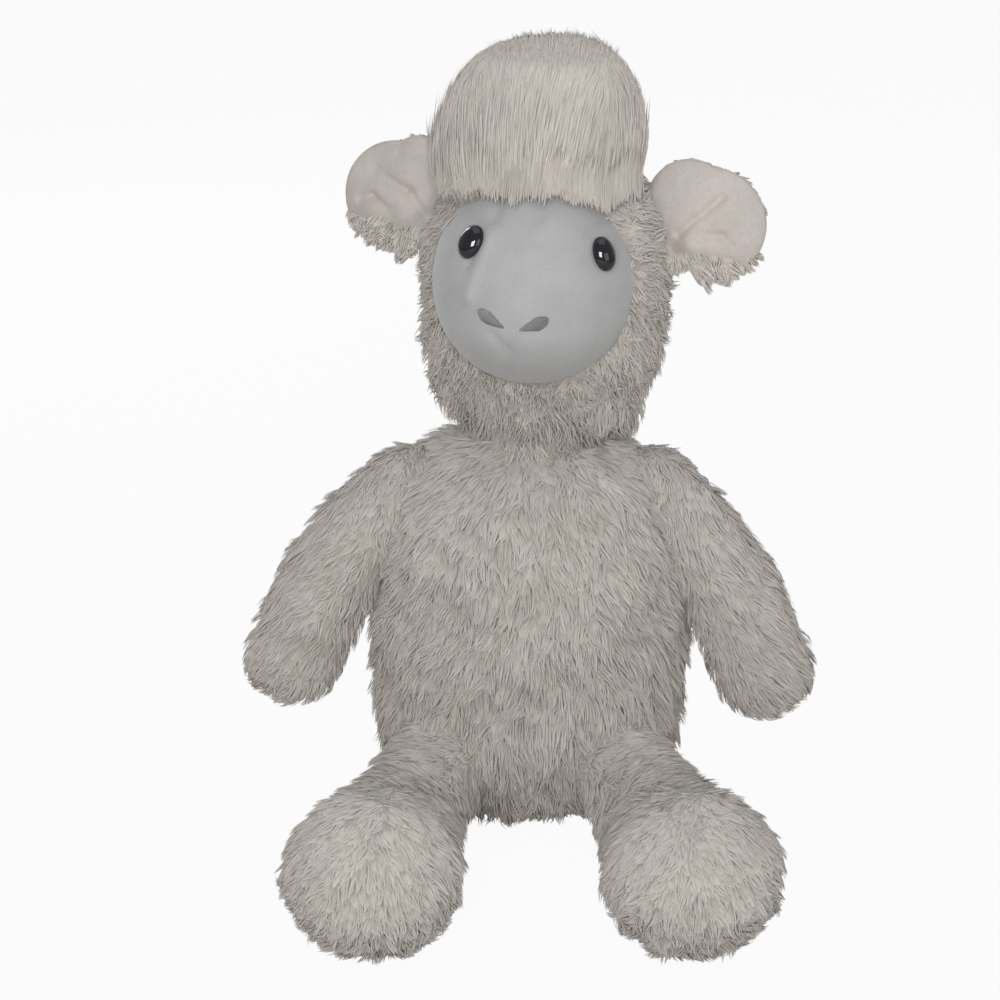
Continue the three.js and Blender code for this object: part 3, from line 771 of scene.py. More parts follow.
def body_comb(root, normal):
    """Down and away from the middle: more outward at the chest, straight down at the belly."""
    toy = from_frame(root)
    up = np.clip((toy[:, 2] - 20) / 140, 0, 1)
    out = np.stack([toy[:, 0] / 60, toy[:, 1] / 90, np.zeros(len(toy))], axis=1)
    comb = out * (0.25 + 1.25 * up)[:, None]
    comb[:, 0] += 0.3 * waves(root, 0.05, 11) + 0.4 * waves(root, 0.016, 12) + 0.35 * waves(root, 0.008, 16)
    comb[:, 2] -= 1.0 + 0.3 * waves(root, 0.018, 13) + 0.2 * waves(root, 0.009, 19)
    return comb


def outside_limbs(root, normal):
    """Keeps the torso's roots that no limb or head hides at every pose."""
    toy = from_frame(root)
    shown = depth_in_egg(HEAD, -6, (toy - NECK) @ HEAD_TURN) > 1
    for side in (-1, 1):
        for form, reach in ((mirrored(ARM, side), 13), (mirrored(LEG, side), 18)):
            shown &= np.linalg.norm(toy - np.array(form["pivot"], float), axis=1) > reach
    return shown


class LLAMA_OT_torso(bpy.types.Operator):
    """Makes the stuffed torso and its fur"""

    bl_idname = "llama.torso"
    bl_label = "Torso"

    def execute(self, context):
        sizes = context.scene.llama_sizes
        deep = sizes.skin_depth * 1000
        skin = stuffed("torso_skin", (96, 64), lambda ball: in_toy(egg_points(TORSO, -deep, ball)),
                       voxel=0.005, most=0.004, lump=0.0013, seed=61)
        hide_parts("torso_front_panel", "torso_back_panel", "torso_stuffing", "seat_pellet_bag")
        finish_piece(skin, "torso", backing_material())
        rng = np.random.default_rng(sizes.seed)
        coat("torso_fur", skin, "torso", body_comb, rng, keep=outside_limbs)
        return {"FINISHED"}


def arm_comb(side):
    """Fur of an arm: outward and down across it, and down its inner edge."""

    def comb(root, normal):
        toy = from_frame(root)
        toy[:, 0] *= side
        middle = np.array(ARM["pivot"], float) * 0.5 + np.array(ARM["tip"], float) * 0.5
        outer = np.clip((toy[:, 0] - middle[0]) / 30 + (middle[2] - toy[:, 2]) * 0.012 + 0.6, 0, 1.2)
        swirl = 0.2 * waves(root, 0.06, 17 + side) + 0.35 * waves(root, 0.017, 14)
        swirl = swirl + 0.3 * waves(root, 0.008, 18)
        down = -0.85 + 0.25 * waves(root, 0.018, 15)
        ahead = -0.1 - 1.2 * np.clip(normal[:, 2], 0, 1) * (normal[:, 1] < 0.3)
        return np.stack([side * (0.25 + 0.75 * outer + swirl), ahead, down], axis=1)

    return comb


def limb_skin(form, deep):
    """Moves a ball onto a limb, under its fur by a depth in millimetres."""
    return lambda ball: in_toy(limb_points(form, -deep, ball))


def outside_torso(root, normal):
    """Keeps the roots of a limb that the torso doesn't hide at every pose."""
    return depth_in_egg(TORSO, -14, from_frame(root)) > 1


class LLAMA_OT_arms(bpy.types.Operator):
    """Makes the two stuffed arms and their fur"""

    bl_idname = "llama.arms"
    bl_label = "Arms"

    def execute(self, context):
        sizes = context.scene.llama_sizes
        deep = sizes.skin_depth * 1000
        for side, word in ((-1, "right"), (1, "left")):
            form = mirrored(ARM, side)
            skin = stuffed(f"arm_{word}_skin", (48, 56), limb_skin(form, deep),
                           voxel=0.004, most=0.003, lump=0.0010, seed=63)
            panels = ("front_panel", "back_panel", "stuffing")
            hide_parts(*(f"arm_{word}_{piece}" for piece in panels))
            finish_piece(skin, f"arm_{word}", backing_material())
            rng = np.random.default_rng(sizes.seed + OWN_SEED["arm"] + side)
            coat(f"arm_{word}_fur", skin, f"arm_{word}", arm_comb(side), rng, keep=outside_torso,
                 share=1.05, limit=close_to(form))
        return {"FINISHED"}


def on_foot(toy):
    """0 at the thigh, 1 on the foot, and between them at the ankle."""
    return np.clip((-toy[:, 1] - 88) / 34, 0, 1)


def leg_comb(side):
    """Fur of a leg: across the thigh and down, then fanning down the foot from a parting near its top."""

    def comb(root, normal):
        toy = from_frame(root)
        toy[:, 0] *= side
        near = on_foot(toy)[:, None]
        thigh = np.array([0.9, -0.2, -0.45])
        across = (toy[:, 0] - LEG["tip"][0] + 3) / 26
        fan = np.stack([across, np.full(len(toy), -0.35), -1 + 0.35 * np.abs(across)], axis=1)
        made = thigh * (1 - near) + fan * near
        made[:, 0] += 0.3 * waves(root, 0.045, 23 + side) + 0.4 * waves(root, 0.015, 24)
        made[:, 0] += 0.3 * waves(root, 0.008, 26)
        made[:, 2] += 0.3 * waves(root, 0.014, 25)
        made[:, 0] *= side
        return made

    return comb


def close_to(form):
    """Draws fur that stands off a limb back towards it."""

    def limit(points):
        place = from_frame(points)
        centre, _, radius = path_of(form, np.linspace(0, 1, 25))
        away = np.linalg.norm(place[:, None, :] - centre[None], axis=2)
        nearest = np.argmin(away - radius[None], axis=1)
        distance = away[np.arange(len(place)), nearest]
        most = radius[nearest]
        share = np.where(distance > most, (most + 0.35 * (distance - most)) / distance, 1)
        return in_toy(centre[nearest] + (place - centre[nearest]) * share[:, None])

    return limit


def foot_pile(root):
    """Length of the fur of a leg against that of the body."""
    return 0.92 - 0.17 * on_foot(from_frame(root))


class LLAMA_OT_legs(bpy.types.Operator):
    """Makes the two stuffed legs and their fur"""

    bl_idname = "llama.legs"
    bl_label = "Legs"

    def execute(self, context):
        sizes = context.scene.llama_sizes
        deep = sizes.skin_depth * 1000
        for side, word in ((-1, "right"), (1, "left")):
            form = mirrored(LEG, side)
            skin = stuffed(f"leg_{word}_skin", (56, 64), limb_skin(form, deep),
                           voxel=0.0045, most=0.003, lump=0.0010, seed=65)
            panels = ("outer_panel", "inner_panel", "stuffing")
            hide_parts(*(f"leg_{word}_{piece}" for piece in panels))
            finish_piece(skin, f"leg_{word}", backing_material())
            rng = np.random.default_rng(sizes.seed + OWN_SEED["leg"] + side)
            coat(f"leg_{word}_fur", skin, f"leg_{word}", leg_comb(side), rng, keep=outside_torso,
                 share=1.05, pile=foot_pile, angles=(38, 7), limit=close_to(form))
        return {"FINISHED"}


class LLAMA_OT_tail(bpy.types.Operator):
    """Makes the little stuffed tail and its fur"""

    bl_idname = "llama.tail"
    bl_label = "Tail"

    def execute(self, context):
        sizes = context.scene.llama_sizes
        skin = ball_shaped("tail_skin", 24, 24, lambda ball: in_toy(limb_points(TAIL, -3.5, ball)))
        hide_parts("tail")
        finish_piece(skin, "tail", backing_material())
        rng = np.random.default_rng(sizes.seed + OWN_SEED["tail"])

        def comb(root, normal):
            return np.tile(np.array([0.0, 0.7, -0.7]), (len(root), 1)) + 0.2 * normal

        coat("tail_fur", skin, "tail", comb, rng, share=1.1, pile=0.9)
        return {"FINISHED"}


def head_comb(root, normal):
    """Fur of the head: back from the face at the cheeks, and down to the neck."""
    own = from_head(root)
    low = np.clip((32 - own[:, 2]) / 20, 0, 1)
    down = (own[:, 2] - 80) / 90 - 0.75 - 1.2 * low
    out = np.stack([own[:, 0] / 55, (own[:, 1] + 30) / 70, down], axis=1)
    curl = np.stack([waves(root, 0.016, seed) for seed in (31, 32, 33)], axis=1)
    tight = np.stack([waves(root, 0.008, seed) for seed in (34, 35, 36)], axis=1)
    return out @ HEAD_TURN.T + (curl * 0.8 + tight * 0.6) * (1 - 0.4 * low)[:, None]


def head_pile(root):
    """Length of the head's fur: longer at the collar, where it hangs over the seam of the neck."""
    return 0.78 + 0.75 * np.clip((30 - from_head(root)[:, 2]) / 18, 0, 1)


class LLAMA_OT_head(bpy.types.Operator):
    """Makes the stuffed head and the fur round the face"""

    bl_idname = "llama.head"
    bl_label = "Head"

    def execute(self, context):
        sizes = context.scene.llama_sizes
        deep = sizes.skin_depth * 1000

        def shaping(ball):
            own = egg_points(HEAD, -deep, ball)
            under = np.clip((50 - own[:, 2]) / 26, 0, 1)
            drawn = eased(under)
            own[:, 1] *= np.where(own[:, 1] < 0, 1 - 0.24 * drawn, 1)
            own[:, 0] *= 1 + 0.03 * drawn
            return in_head(own)

        skin = ball_shaped("head_skin", 80, 60, shaping)
        neck = ball_shaped("neck_skin", 32, 20, lambda ball: in_head(egg_points(NECK_BALL, -2, ball)))
        join(skin, neck)
        puff(skin, voxel=0.005, most=0.003)
        lumps(skin, height=0.0016, seed=67)
        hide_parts("head_left_panel", "head_right_panel", "head_stuffing")
        finish_piece(skin, "head", backing_material())
        rng = np.random.default_rng(sizes.seed + OWN_SEED["head"])

        def shown(root, normal):
            own = from_head(root)
            outside = depth_in_egg(FACE, -1, own) > 1
            outside &= depth_in_egg(TOPKNOT, -11, own) > 1
            return outside & (own[:, 2] > -4)

        coat("head_fur", skin, "head", head_comb, rng, keep=shown, share=1.25, pile=head_pile, curl=0.35,
             angles=(60, 16), clump=0.75)
        return {"FINISHED"}


def distance_to(x, z, start, end):
    """How far points are from a line between two points, all across and up."""
    a, span = np.array(start), np.array(end) - np.array(start)
    t = np.clip(((x - a[0]) * span[0] + (z - a[1]) * span[1]) / (span @ span), 0, 1)
    return np.hypot(x - a[0] - span[0] * t, z - a[1] - span[1] * t)


def face_push(own):
    """How far each point of the face moves out, in millimetres, for its folds and sunk eyes."""
    x, z = own[:, 0], own[:, 2]
    push = np.zeros(len(own))
    for start, end, width, depth in FACE_FOLDS:
        push += depth * np.exp(-((distance_to(x, z, start, end) / width) ** 2))
    for word in ("left", "right"):
        away = np.hypot((x - EYE[word][0]) * 1.15, z - EYE[word][1])
        push -= 1.5 * np.exp(-((away / 8.5) ** 2))
    return np.where(own[:, 1] < -8, push, 0)


def face_spot(x, z):
    """A point on the face's front and the way it looks, in the head's own frame."""
    at = np.array(FACE["at"], float)
    low = z < at[2]
    roundness = np.where(low, FACE["round"][0], FACE["round"][1])
    reach = np.where(low, FACE["below"], FACE["above"])
    rise = (z - at[2]) / reach
    ring = (1 - np.abs(rise) ** roundness) ** (1 / roundness)
    depth = FACE["deep"] * np.sqrt(np.maximum(ring**2 - ((x - at[0]) / FACE["wide"]) ** 2, 0))
    slope = np.sign(rise) * np.abs(rise) ** (roundness - 1) * ring ** (2 - roundness) / reach
    outward = np.stack([(x - at[0]) / FACE["wide"] ** 2, -depth / FACE["deep"] ** 2, slope], axis=-1)
    point = np.stack([x, at[1] - depth, z], axis=-1)
    return point, unit(outward)


class LLAMA_OT_face(bpy.types.Operator):
    """Makes the smooth face with its folds"""

    bl_idname = "llama.face"
    bl_label = "Face"

    def execute(self, context):
        colours = context.scene.llama_colours

        def shaping(ball):
            turned = np.stack([ball[:, 0], -ball[:, 2], ball[:, 1]], axis=1)
            own = egg_points(FACE, 0, turned)
            middle = np.array(FACE["at"], float)
            own += unit(own - middle) * face_push(own)[:, None]
            return in_head(own)

        skin = ball_shaped("face_skin", 200, 140, shaping)
        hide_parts("face_panel")
        pile = tuple(colours.face)
        # The nap is darkened from the muzzle down to the chin: painted shade under the chin.
        material = cloth_material("face_nap", pile, shade(pile, 0.93), scale=1500.0, bump=0.35,
                                  roughness=0.9, sheen=0.5, painted_shade_below=((0.208, 0.242), 0.66))
        finish_piece(skin, "head", material)
        return {"FINISHED"}


def crown_lines(own, most, rng):
    """Long locks that rise up the sides of the crown and bend with it, and short ones on its top."""
    middle = np.array(CROWN["at"], float)
    count = len(own)
    start = own - middle
    tilt = 1 + 0.04 * start[:, 0] / CROWN["wide"]
    top = CROWN["above"] * tilt * (0.93 + 0.045 * waves(own, 13, 42) + 0.025 * rng.normal(size=count))
    fringe = (start[:, 2] < -4) & (rng.random(count) < 0.3)
    end = np.minimum(start[:, 2] + most, np.maximum(top, start[:, 2] + 5))
    end = np.where(fringe, start[:, 2] - 8, end)
    rise = start[:, 2, None] + (end - start[:, 2])[:, None] * LOCK_SHARES
    low = rise < 0
    reach = np.where(low, CROWN["below"] + 6, CROWN["above"])
    roundness = np.where(low, *CROWN["round"])
    width = np.maximum(1 - np.minimum(np.abs(rise) / reach, 0.98) ** roundness, 1e-6) ** (1 / roundness)
    ragged = np.array([0, 1, 1.4, 2.2]) * rng.normal(0, 0.8, count)[:, None]
    out = np.array([-8.5, -4.2, -2.0, -0.8]) + ragged
    out = out + 1.9 * waves(own, 8, 45)[:, None] * np.array([0, 0.4, 0.9, 1.2])
    out = out + 4 * np.clip(1 - np.abs(rise) / 32, 0, 1)
    wide, deep = CROWN["wide"] + out, CROWN["deep"] + out
    sway = 1.2 * waves(own, 16, 41) + 0.06 * start[:, 0] + rng.normal(0, 0.9, count)
    across = start[:, 0, None] * (1 + 8 / CROWN["wide"] * np.array([0, 0.6, 0.85, 1]))
    across = across + sway[:, None] * np.array([0, 0.3, 0.7, 1])
    across = np.clip(across, -0.985 * width * wide, 0.985 * width * wide)
    through = deep * np.sqrt(np.maximum(width**2 - (across / wide) ** 2, 0.002))
    through = through * np.where(start[:, 1, None] < 0, -1, 1)
    round_about = np.arctan2(start[:, 1] / CROWN["deep"], start[:, 0] / CROWN["wide"])
    at_side = eased(np.clip((np.abs(np.cos(round_about)) - 0.55) / 0.35, 0, 1)[:, None])
    across = across + (np.cos(round_about)[:, None] * width * wide - across) * at_side
    through = through + (np.sin(round_about)[:, None] * width * deep - through) * at_side
    across = np.where(across > 0, 0.92, 1.02) * across
    line = np.stack([across + 2 * (np.maximum(rise, 0) / CROWN["above"]) ** 2, through, rise], axis=2)
    upright = start[:, 2] > CROWN["above"] * 0.7
    tall = start[upright]
    ball = np.hypot(tall[:, 0] / CROWN["wide"], tall[:, 1] / CROWN["deep"])
    lid = CROWN["above"] * np.maximum(1 - np.minimum(ball, 0.97) ** 2.6, 0) ** (1 / 2.6)
    lid = np.maximum(lid - 0.5 + rng.normal(0, 1.0, len(tall)), tall[:, 2] + 5)
    lid = lid * tilt[upright] + 1.9 * waves(own[upright], 10, 46)
    tall[:, 0] = np.where(tall[:, 0] > 0, 0.92, 1.02) * tall[:, 0] + 2 * (tall[:, 2] / CROWN["above"]) ** 2
    stand = tall[:, None, :] + np.zeros((1, 4, 1))
    stand[:, :, 2] += (lid - tall[:, 2])[:, None] * LOCK_SHARES
    stand[:, :, :2] += rng.normal(0, 1.4, (len(tall), 1, 2)) * (LOCK_SHARES ** 1.5)[None, :, None]
    line[upright] = stand
    return line + middle


def fringe_lines(rng, count):
    """Locks that hang from the crown over the top edge of the face."""
    x = rng.uniform(-42, 40, count)
    sag = 1.0 * np.sin(x * 0.21) + 1.0 * np.sin(x * 0.55 + 1) + rng.normal(0, 1.4, count)
    sag -= 3.6 * np.exp(-(((x - 31) / 6) ** 2))
    around = np.clip((x - CROWN["at"][0]) / (CROWN["wide"] - 1), -0.99, 0.99)
    root_y = CROWN["at"][1] - (CROWN["deep"] - 3.5) * np.sqrt(1 - around**2)
    foot = 121.6 + 0.055 * (x - 30) - 0.002 * (x + 3) ** 2 + sag
    face_z = np.minimum(foot, FACE["at"][2] + FACE["above"] * 0.97)
    ring = 1 - ((face_z - FACE["at"][2]) / FACE["above"]) ** 2 - ((x - FACE["at"][0]) / FACE["wide"]) ** 2
    foot_y = np.minimum(FACE["at"][1] - FACE["deep"] * np.sqrt(np.maximum(ring, 0)) - 1.2, root_y - 1)
    foot_y = np.where(ring > 0, foot_y, root_y - 2)
    high = foot + rng.uniform(5, 20, count)
    shares = np.array([0, 0.35, 0.7, 1])
    z = high[:, None] + (foot - high)[:, None] * shares
    y = root_y[:, None] + (foot_y - root_y)[:, None] * shares**0.7
    y[:, 1:3] -= 1.2
    across = x[:, None] + rng.normal(0, 1.0, count)[:, None] * shares
    return np.stack([across, y, z], axis=2)


class LLAMA_OT_topknot(bpy.types.Operator):
    """Makes the topknot of long upright fur"""

    bl_idname = "llama.topknot"
    bl_label = "Topknot"

    def execute(self, context):
        sizes = context.scene.llama_sizes
        skin = ball_shaped("topknot_skin", 64, 48, lambda ball: in_head(egg_points(CROWN, -8, ball)))
        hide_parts("topknot")
        finish_piece(skin, "head", backing_material("crown"))
        rng = np.random.default_rng(sizes.seed + OWN_SEED["topknot"])
        root, normal = scatter(skin, CROWN_DENSITY, rng)
        own = from_head(root)
        shown = depth_in_egg(HEAD, -5, own) > 1
        shown &= depth_in_egg(FACE, -3, own) > 1
        root, normal, own = root[shown], normal[shown], own[shown]
        count = len(root)
        most = sizes.crown_pile * 1000 * (0.7 + 0.5 * rng.random(count))
        line = in_head(crown_lines(own, most, rng).reshape(-1, 3)).reshape(count, 4, 3)
        width = CROWN_WIDTH * (0.65 + 0.6 * rng.random(count))
        streaks = own * np.array([1, 1, 0.12])
        # Tones fall towards the bottom of the crown: painted shade low on the topknot.
        tone = 0.72 - 0.6 * np.clip((126 - own[:, 2]) / 22, 0, 1) + 0.18 * waves(streaks, 9, 43)
        tone = tone + 0.16 * waves(streaks, 4, 44) + 0.35 * (rng.random(count) - 0.5)
        points, facing = lock_points(line, normal, width, own_light=0.4, scattered=1.2,
                                     across=normal + 0.01)
        hung = fringe_lines(rng, FRINGE_LOCKS)
        aside = np.array([0.5, 0, 0]) * (hung / CROWN["wide"])
        outward = in_head(hung + aside + np.array([0, -1.0, 0.02])) - in_head(hung)
        over = unit(outward[:, 0])
        hung = in_head(hung.reshape(-1, 3)).reshape(-1, 4, 3)
        width = FRINGE_WIDTH * (0.65 + 0.6 * rng.random(len(hung)))
        more = lock_points(hung, over, width, own_light=0.4)
        # The fringe's locks get low tones: painted shade on the locks that hang over the face.
        tones = 0.16 + 0.3 * (rng.random(len(hung)) - 0.5)
        finish_piece(lock_mesh("topknot_fringe", [(*more, tones)]), "head", fur_of("crown"))
        pieces = math.ceil(count * triangles_of(points) / MOST_TRIANGLES)
        for place, chosen in enumerate(np.array_split(np.argsort(root[:, 0]), pieces)):
            made = lock_mesh(f"topknot_fur_{place + 1}", [(points[chosen], facing[chosen], tone[chosen])])
            finish_piece(made, "head", fur_of("crown"))
        return {"FINISHED"}


def on_face(across, height, spin=0.0):
    """Middle and axes of a fitting that sits on the face: its side, its up and its outward way."""
    point, outward = face_spot(np.array([across], float), np.array([height], float))
    point, outward = point[0], outward[0]
    side = unit(np.cross(np.array([0.0, 0.0, 1.0]), outward))
    up = np.cross(outward, side)
    turn, lean = math.cos(spin), math.sin(spin)
    return point, side * turn + up * lean, up * turn - side * lean, outward


class LLAMA_OT_eyes(bpy.types.Operator):
    """Makes the two glossy eyes and finishes their washers"""

    bl_idname = "llama.eyes"
    bl_label = "Eyes"

    def execute(self, context):
        colours = context.scene.llama_colours
        black = plastic_material("black_plastic", tuple(colours.eye), roughness=0.12, coat=1.0)
        pale = plastic_material("washer_plastic", tuple(colours.washer), roughness=0.45, coat=0.0)
        sizes = np.array([EYE["half_width"], EYE["half_height"], EYE["dome"]])
        for word in ("right", "left"):
            point, *axes = on_face(*EYE[word])

            def dome(ball):
                local = ball * sizes
                local[:, 2] = np.where(local[:, 2] < 0, local[:, 2] * 0.25, local[:, 2])
                return in_head(point + local @ np.stack(axes))

            def shank(ball):
                local = ball * np.array([2.2, 2.2, 6.5])
                local[:, 2] -= 5.5
                return in_head(point + local @ np.stack(axes))

            eye = ball_shaped(f"eye_{word}_dome", 48, 32, dome)
            stem = ball_shaped(f"eye_{word}_stem", 16, 12, shank)
            join(eye, stem)
            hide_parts(f"eye_{word}")
            finish_piece(eye, "head", black)
            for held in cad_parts[f"eye_washer_{word}"].material_slots:
                held.link = "OBJECT"
                held.material = pale
        return {"FINISHED"}


def tube(points, radius):
    """Points and triangles of a closed thin tube through points."""
    count, sides = len(points), THREAD_SIDES
    ahead = unit(np.gradient(points, axis=0))
    guide = np.tile(np.array([0.0, 0.0, 1.0]), (count, 1))
    side = unit(np.cross(ahead, guide))
    lift = np.cross(side, ahead)
    turn = np.arange(sides) / sides * 2 * math.pi
    ring = side[:, None, :] * np.cos(turn)[None, :, None] + lift[:, None, :] * np.sin(turn)[None, :, None]
    around = (points[:, None, :] + ring * np.asarray(radius).reshape(-1, 1, 1)).reshape(-1, 3)
    every = np.concatenate([around, points[:1], points[-1:]])
    faces = []
    for low in range(count - 1):
        for k in range(sides):
            n = (k + 1) % sides
            a, b, c, d = low * sides + k, low * sides + n, (low + 1) * sides + n, (low + 1) * sides + k
            faces.append((a, b, c))
            faces.append((a, c, d))
    last = (count - 1) * sides
    for k in range(sides):
        n = (k + 1) % sides
        faces.append((len(every) - 2, n, k))
        faces.append((len(every) - 1, last + k, last + n))
    return every, faces


class LLAMA_OT_nostrils(bpy.types.Operator):
    """Stitches the two satin nostrils"""

    bl_idname = "llama.nostrils"
    bl_label = "Nostrils"

    def execute(self, context):
        colours = context.scene.llama_colours
        grey = tuple(colours.thread)
        thread = cloth_material("grey_thread", grey, shade(grey, 0.7), scale=2500.0, bump=0.3,
                                roughness=0.38, sheen=0.0)
        long, wide = NOSTRIL["length"], NOSTRIL["width"]
        for side, word in ((-1, "right"), (1, "left")):
            slant = math.radians(NOSTRIL["slant"] if side > 0 else 180 - NOSTRIL["slant"])
            middle, along, across, _ = on_face(*NOSTRIL[word], slant)
            points, faces = [], []
            total = 0
            rng = np.random.default_rng(5 + side)
            for stitch in range(NOSTRIL["stitches"]):
                share = (stitch + 0.5) / NOSTRIL["stitches"]
                a = -0.6 * long + share * 1.02 * long
                closing = math.sqrt(max(0, 1 - max(0, (share - 0.6) / 0.4) ** 2))
                open_up = min(1, share * 1.55) ** 0.8 * closing
                half = max(0.35, wide / 2 * open_up * 1.04)
                reach = np.linspace(-1, 1, 9)
                b = reach * half * (1 + 0.04 * rng.normal())
                lean = 0.35 * reach * (1 if side > 0 else -1)
                spot = middle + along * (a + lean)[:, None] + across * b[:, None]
                surface, outward_here = face_spot(spot[:, 0], spot[:, 2])
                bulge = 0.15 + 0.85 * (1 - reach**2) * min(1, half / 1.6)
                surface = surface + outward_here * bulge[:, None]
                more, parts = tube(surface, np.full(9, 0.26))
                points.append(more)
                faces += [tuple(corner + total for corner in face) for face in parts]
                total += len(more)
            mesh = bpy.data.meshes.new(f"nostril_{word}_stitches")
            mesh.from_pydata(in_head(np.concatenate(points)).tolist(), [], faces)
            item = bpy.data.objects.new(mesh.name, mesh)
            context.scene.collection.objects.link(item)
            make_active(item)
            turn_outward()
            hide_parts(f"nostril_{word}")
            finish_piece(item, "head", thread)
        return {"FINISHED"}


class LLAMA_OT_ears(bpy.types.Operator):
    """Makes the furry ears with their pleated linings"""

    bl_idname = "llama.ears"
    bl_label = "Ears"

    def execute(self, context):
        sizes = context.scene.llama_sizes
        colours = context.scene.llama_colours
        cloth = tuple(colours.lining)
        smooth = cloth_material("ear_lining", cloth, shade(cloth, 0.9), scale=900.0, bump=0.25,
                                roughness=0.75, sheen=0.35)
        for side, word in ((-1, "right"), (1, "left")):
            form = mirrored(EAR, side)

            def back(ball):
                own = limb_points(form, -2.5, ball, 0.2, 0.34)
                own[:, 1] += 1.5
                return in_head(own)

            skin = ball_shaped(f"ear_{word}_back_skin", 64, 48, back)
            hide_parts(f"ear_{word}_back")
            finish_piece(skin, f"ear_{word}", backing_material())

            def front(ball):
                own = limb_points({**form, "flat": (0.24, 0.24)}, -1.2, ball, 0.2, 0.34)
                facing = own[:, 1] < EAR["pivot"][1]
                x, z = own[:, 0] * side, own[:, 2]
                push = np.zeros(len(own))
                for start, end, width, depth in EAR_FOLDS[word]:
                    push += depth * np.exp(-((distance_to(x, z, start, end) / width / 1.5) ** 2))
                push += 0.5 * waves(own, 17, 55) + 0.3 * waves(own, 9, 56)
                own[:, 1] -= 2.2 + np.where(facing, push, 0)
                return in_head(own)

            lining = ball_shaped(f"ear_{word}_lining_cloth", 160, 120, front)
            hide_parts(f"ear_{word}_lining")
            finish_piece(lining, f"ear_{word}", smooth)
            rng = np.random.default_rng(sizes.seed + OWN_SEED["ear"] + side)

            def comb(root, normal):
                own = from_head(root)
                away = 14 * waves(root, 0.012, 51)
                out = np.stack([own[:, 0] * side - 52, away, own[:, 2] - 108], axis=1)
                out[:, 0] *= side
                return unit(out) @ HEAD_TURN.T + np.array([0, 0, -0.35])

            def behind(root, normal):
                own = from_head(root)
                return (own[:, 0] * side > 45) & ((normal @ HEAD_TURN)[:, 1] > -0.35)

            def lower_front(root, normal):
                own = from_head(root)
                edge = EAR_FUR_LINE[word] + 2.5 * waves(root, 0.02, 52)
                return (own[:, 0] * side > 45) & (own[:, 2] < edge) & ((normal @ HEAD_TURN)[:, 1] < 0.2)

            coat(f"ear_{word}_fur", skin, f"ear_{word}", comb, rng, keep=behind, share=1.1, pile=0.36,
                 kind="ear", angles=(36, 12), own_light=2.5)
            coat(f"ear_{word}_rim", lining, f"ear_{word}", comb, rng, keep=lower_front, share=1.4, pile=0.5,
                 kind="ear", angles=(40, 8), low_top=0, own_light=1.0)
        return {"FINISHED"}


def lamp(name, at, aim, size, power, tint):
    """A square area lamp that looks at a point."""
    light = bpy.data.lights.new(name, "AREA")
    light.size = size
    light.energy = power
    light.color = tint
    item = bpy.data.objects.new(name, light)
    bpy.context.scene.collection.objects.link(item)
    item.location = at
    item.rotation_euler = (Vector(aim) - Vector(at)).to_track_quat("-Z", "Y").to_euler()


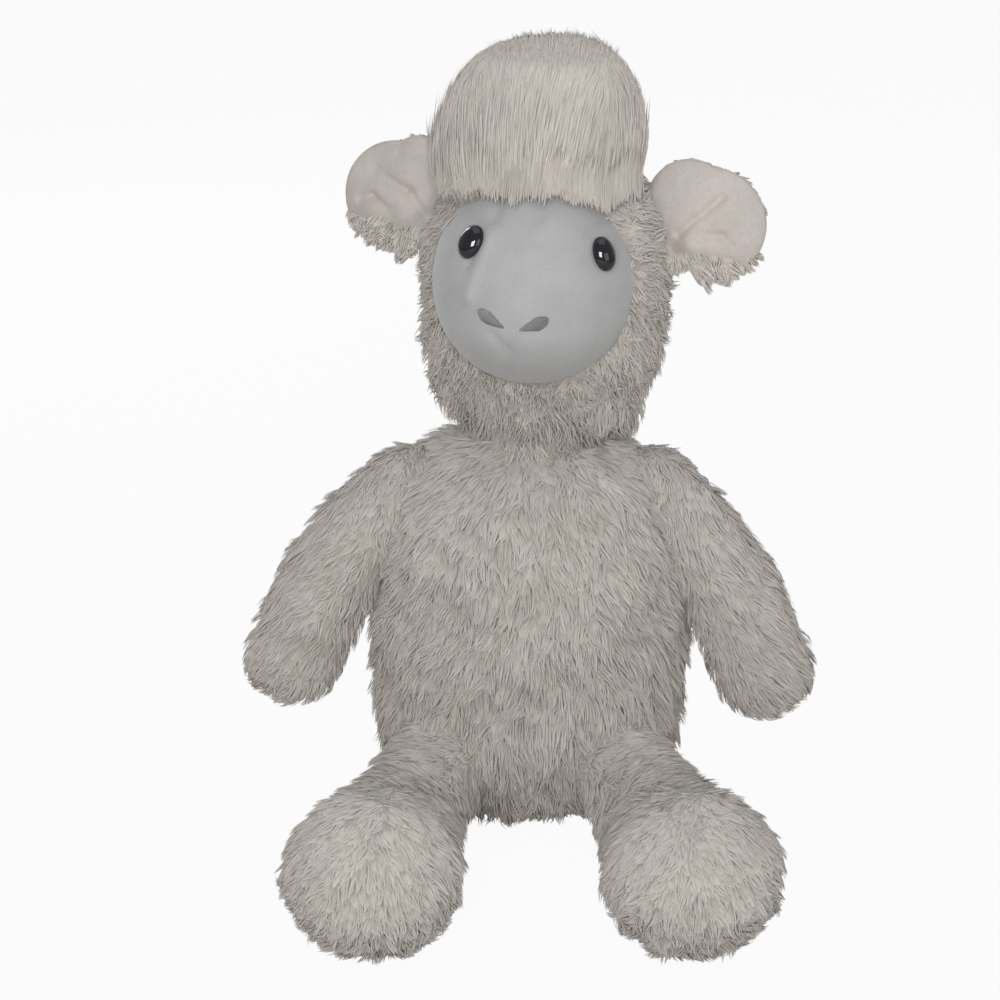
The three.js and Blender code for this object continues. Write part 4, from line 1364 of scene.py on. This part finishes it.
class LLAMA_OT_stage(bpy.types.Operator):
    """Makes the floor, the light and the camera"""

    bl_idname = "llama.stage"
    bl_label = "Stage"

    def execute(self, context):
        scene = context.scene
        clear_selection()
        radius = scene.llama_sizes.floor_radius
        bpy.ops.mesh.primitive_circle_add(vertices=96, radius=radius, fill_type="NGON", location=(0, 0, 0))
        floor = context.active_object
        floor.name = "floor"
        material = bpy.data.materials.new("floor_paint")
        material.use_nodes = True
        tree = material.node_tree
        tree.nodes.clear()
        output = node(tree, "ShaderNodeOutputMaterial", (400, 0))
        paint = node(tree, "ShaderNodeBsdfDiffuse", (-200, 120), Color=(*scene.llama_colours.floor, 1))
        glow = node(tree, "ShaderNodeEmission", (-200, -60), Color=(1, 1, 1, 1), Strength=1.0)
        mixed = node(tree, "ShaderNodeMixShader", (200, 0))
        rays = node(tree, "ShaderNodeLightPath", (-400, 300))
        part = node(tree, "ShaderNodeMath", (0, 300), operation="MULTIPLY")
        part.inputs[1].default_value = 0.95
        wire(tree, (rays, "Is Camera Ray", part, 0), (part, 0, mixed, 0), (paint, 0, mixed, 1),
             (glow, 0, mixed, 2), (mixed, 0, output, "Surface"))
        set_material(floor, material)

        world = bpy.data.worlds.new("studio")
        scene.world = world
        world.use_nodes = True
        tree = world.node_tree
        tree.nodes.clear()
        output = node(tree, "ShaderNodeOutputWorld", (400, 0))
        soft = node(tree, "ShaderNodeBackground", (0, 100), Color=(0.95, 0.975, 1.0, 1), Strength=0.26)
        plain = node(tree, "ShaderNodeBackground", (0, -100), Color=(1, 1, 1, 1), Strength=1.0)
        mixed = node(tree, "ShaderNodeMixShader", (200, 0))
        rays = node(tree, "ShaderNodeLightPath", (-200, 300))
        wire(tree, (rays, "Is Camera Ray", mixed, 0), (soft, 0, mixed, 1), (plain, 0, mixed, 2),
             (mixed, 0, output, "Surface"))

        for settings in LAMPS:
            lamp(*settings)

        target = Vector(CAMERA["target"])
        elevation = math.radians(CAMERA["above"])
        camera = bpy.data.cameras.new("camera")
        camera.lens = CAMERA["lens"]
        camera.sensor_width = 36
        item = bpy.data.objects.new("camera", camera)
        scene.collection.objects.link(item)
        item.location = target + Vector((0, -math.cos(elevation), math.sin(elevation))) * CAMERA["far"]
        item.rotation_euler = (target - item.location).to_track_quat("-Z", "Y").to_euler()
        scene.camera = item
        scene.view_settings.view_transform = "Standard"
        return {"FINISHED"}


class LLAMA_PT_panel(bpy.types.Panel):
    """Sizes, colours and pieces of the llama"""

    bl_label = "Llama"
    bl_idname = "LLAMA_PT_panel"
    bl_space_type = "VIEW_3D"
    bl_region_type = "UI"
    bl_category = "Llama"

    def draw(self, context):
        column = self.layout.column()
        for group in (context.scene.llama_sizes, context.scene.llama_colours):
            for name in group.bl_rna.properties.keys():
                if name not in ("rna_type", "name"):
                    column.prop(group, name)
        for step in STEPS:
            column.operator(step.bl_idname)


STEPS = (LLAMA_OT_torso, LLAMA_OT_arms, LLAMA_OT_legs, LLAMA_OT_tail, LLAMA_OT_head, LLAMA_OT_face,
         LLAMA_OT_topknot, LLAMA_OT_eyes, LLAMA_OT_nostrils, LLAMA_OT_ears, LLAMA_OT_stage)
CLASSES = (LlamaSizes, LlamaColours, *STEPS, LLAMA_PT_panel)


def register():
    """Makes the classes and their settings known."""
    for item in CLASSES:
        bpy.utils.register_class(item)
    bpy.types.Scene.llama_sizes = PointerProperty(type=LlamaSizes)
    bpy.types.Scene.llama_colours = PointerProperty(type=LlamaColours)


def unregister():
    """Takes the classes and their settings away."""
    del bpy.types.Scene.llama_colours
    del bpy.types.Scene.llama_sizes
    for item in reversed(CLASSES):
        bpy.utils.unregister_class(item)


def main():
    """Makes every piece and the stage."""
    register()
    bpy.ops.llama.torso()
    bpy.ops.llama.arms()
    bpy.ops.llama.legs()
    bpy.ops.llama.tail()
    bpy.ops.llama.head()
    bpy.ops.llama.face()
    bpy.ops.llama.topknot()
    bpy.ops.llama.eyes()
    bpy.ops.llama.nostrils()
    bpy.ops.llama.ears()
    bpy.ops.llama.stage()
    clear_selection()


if __name__ == "__main__":
    main()
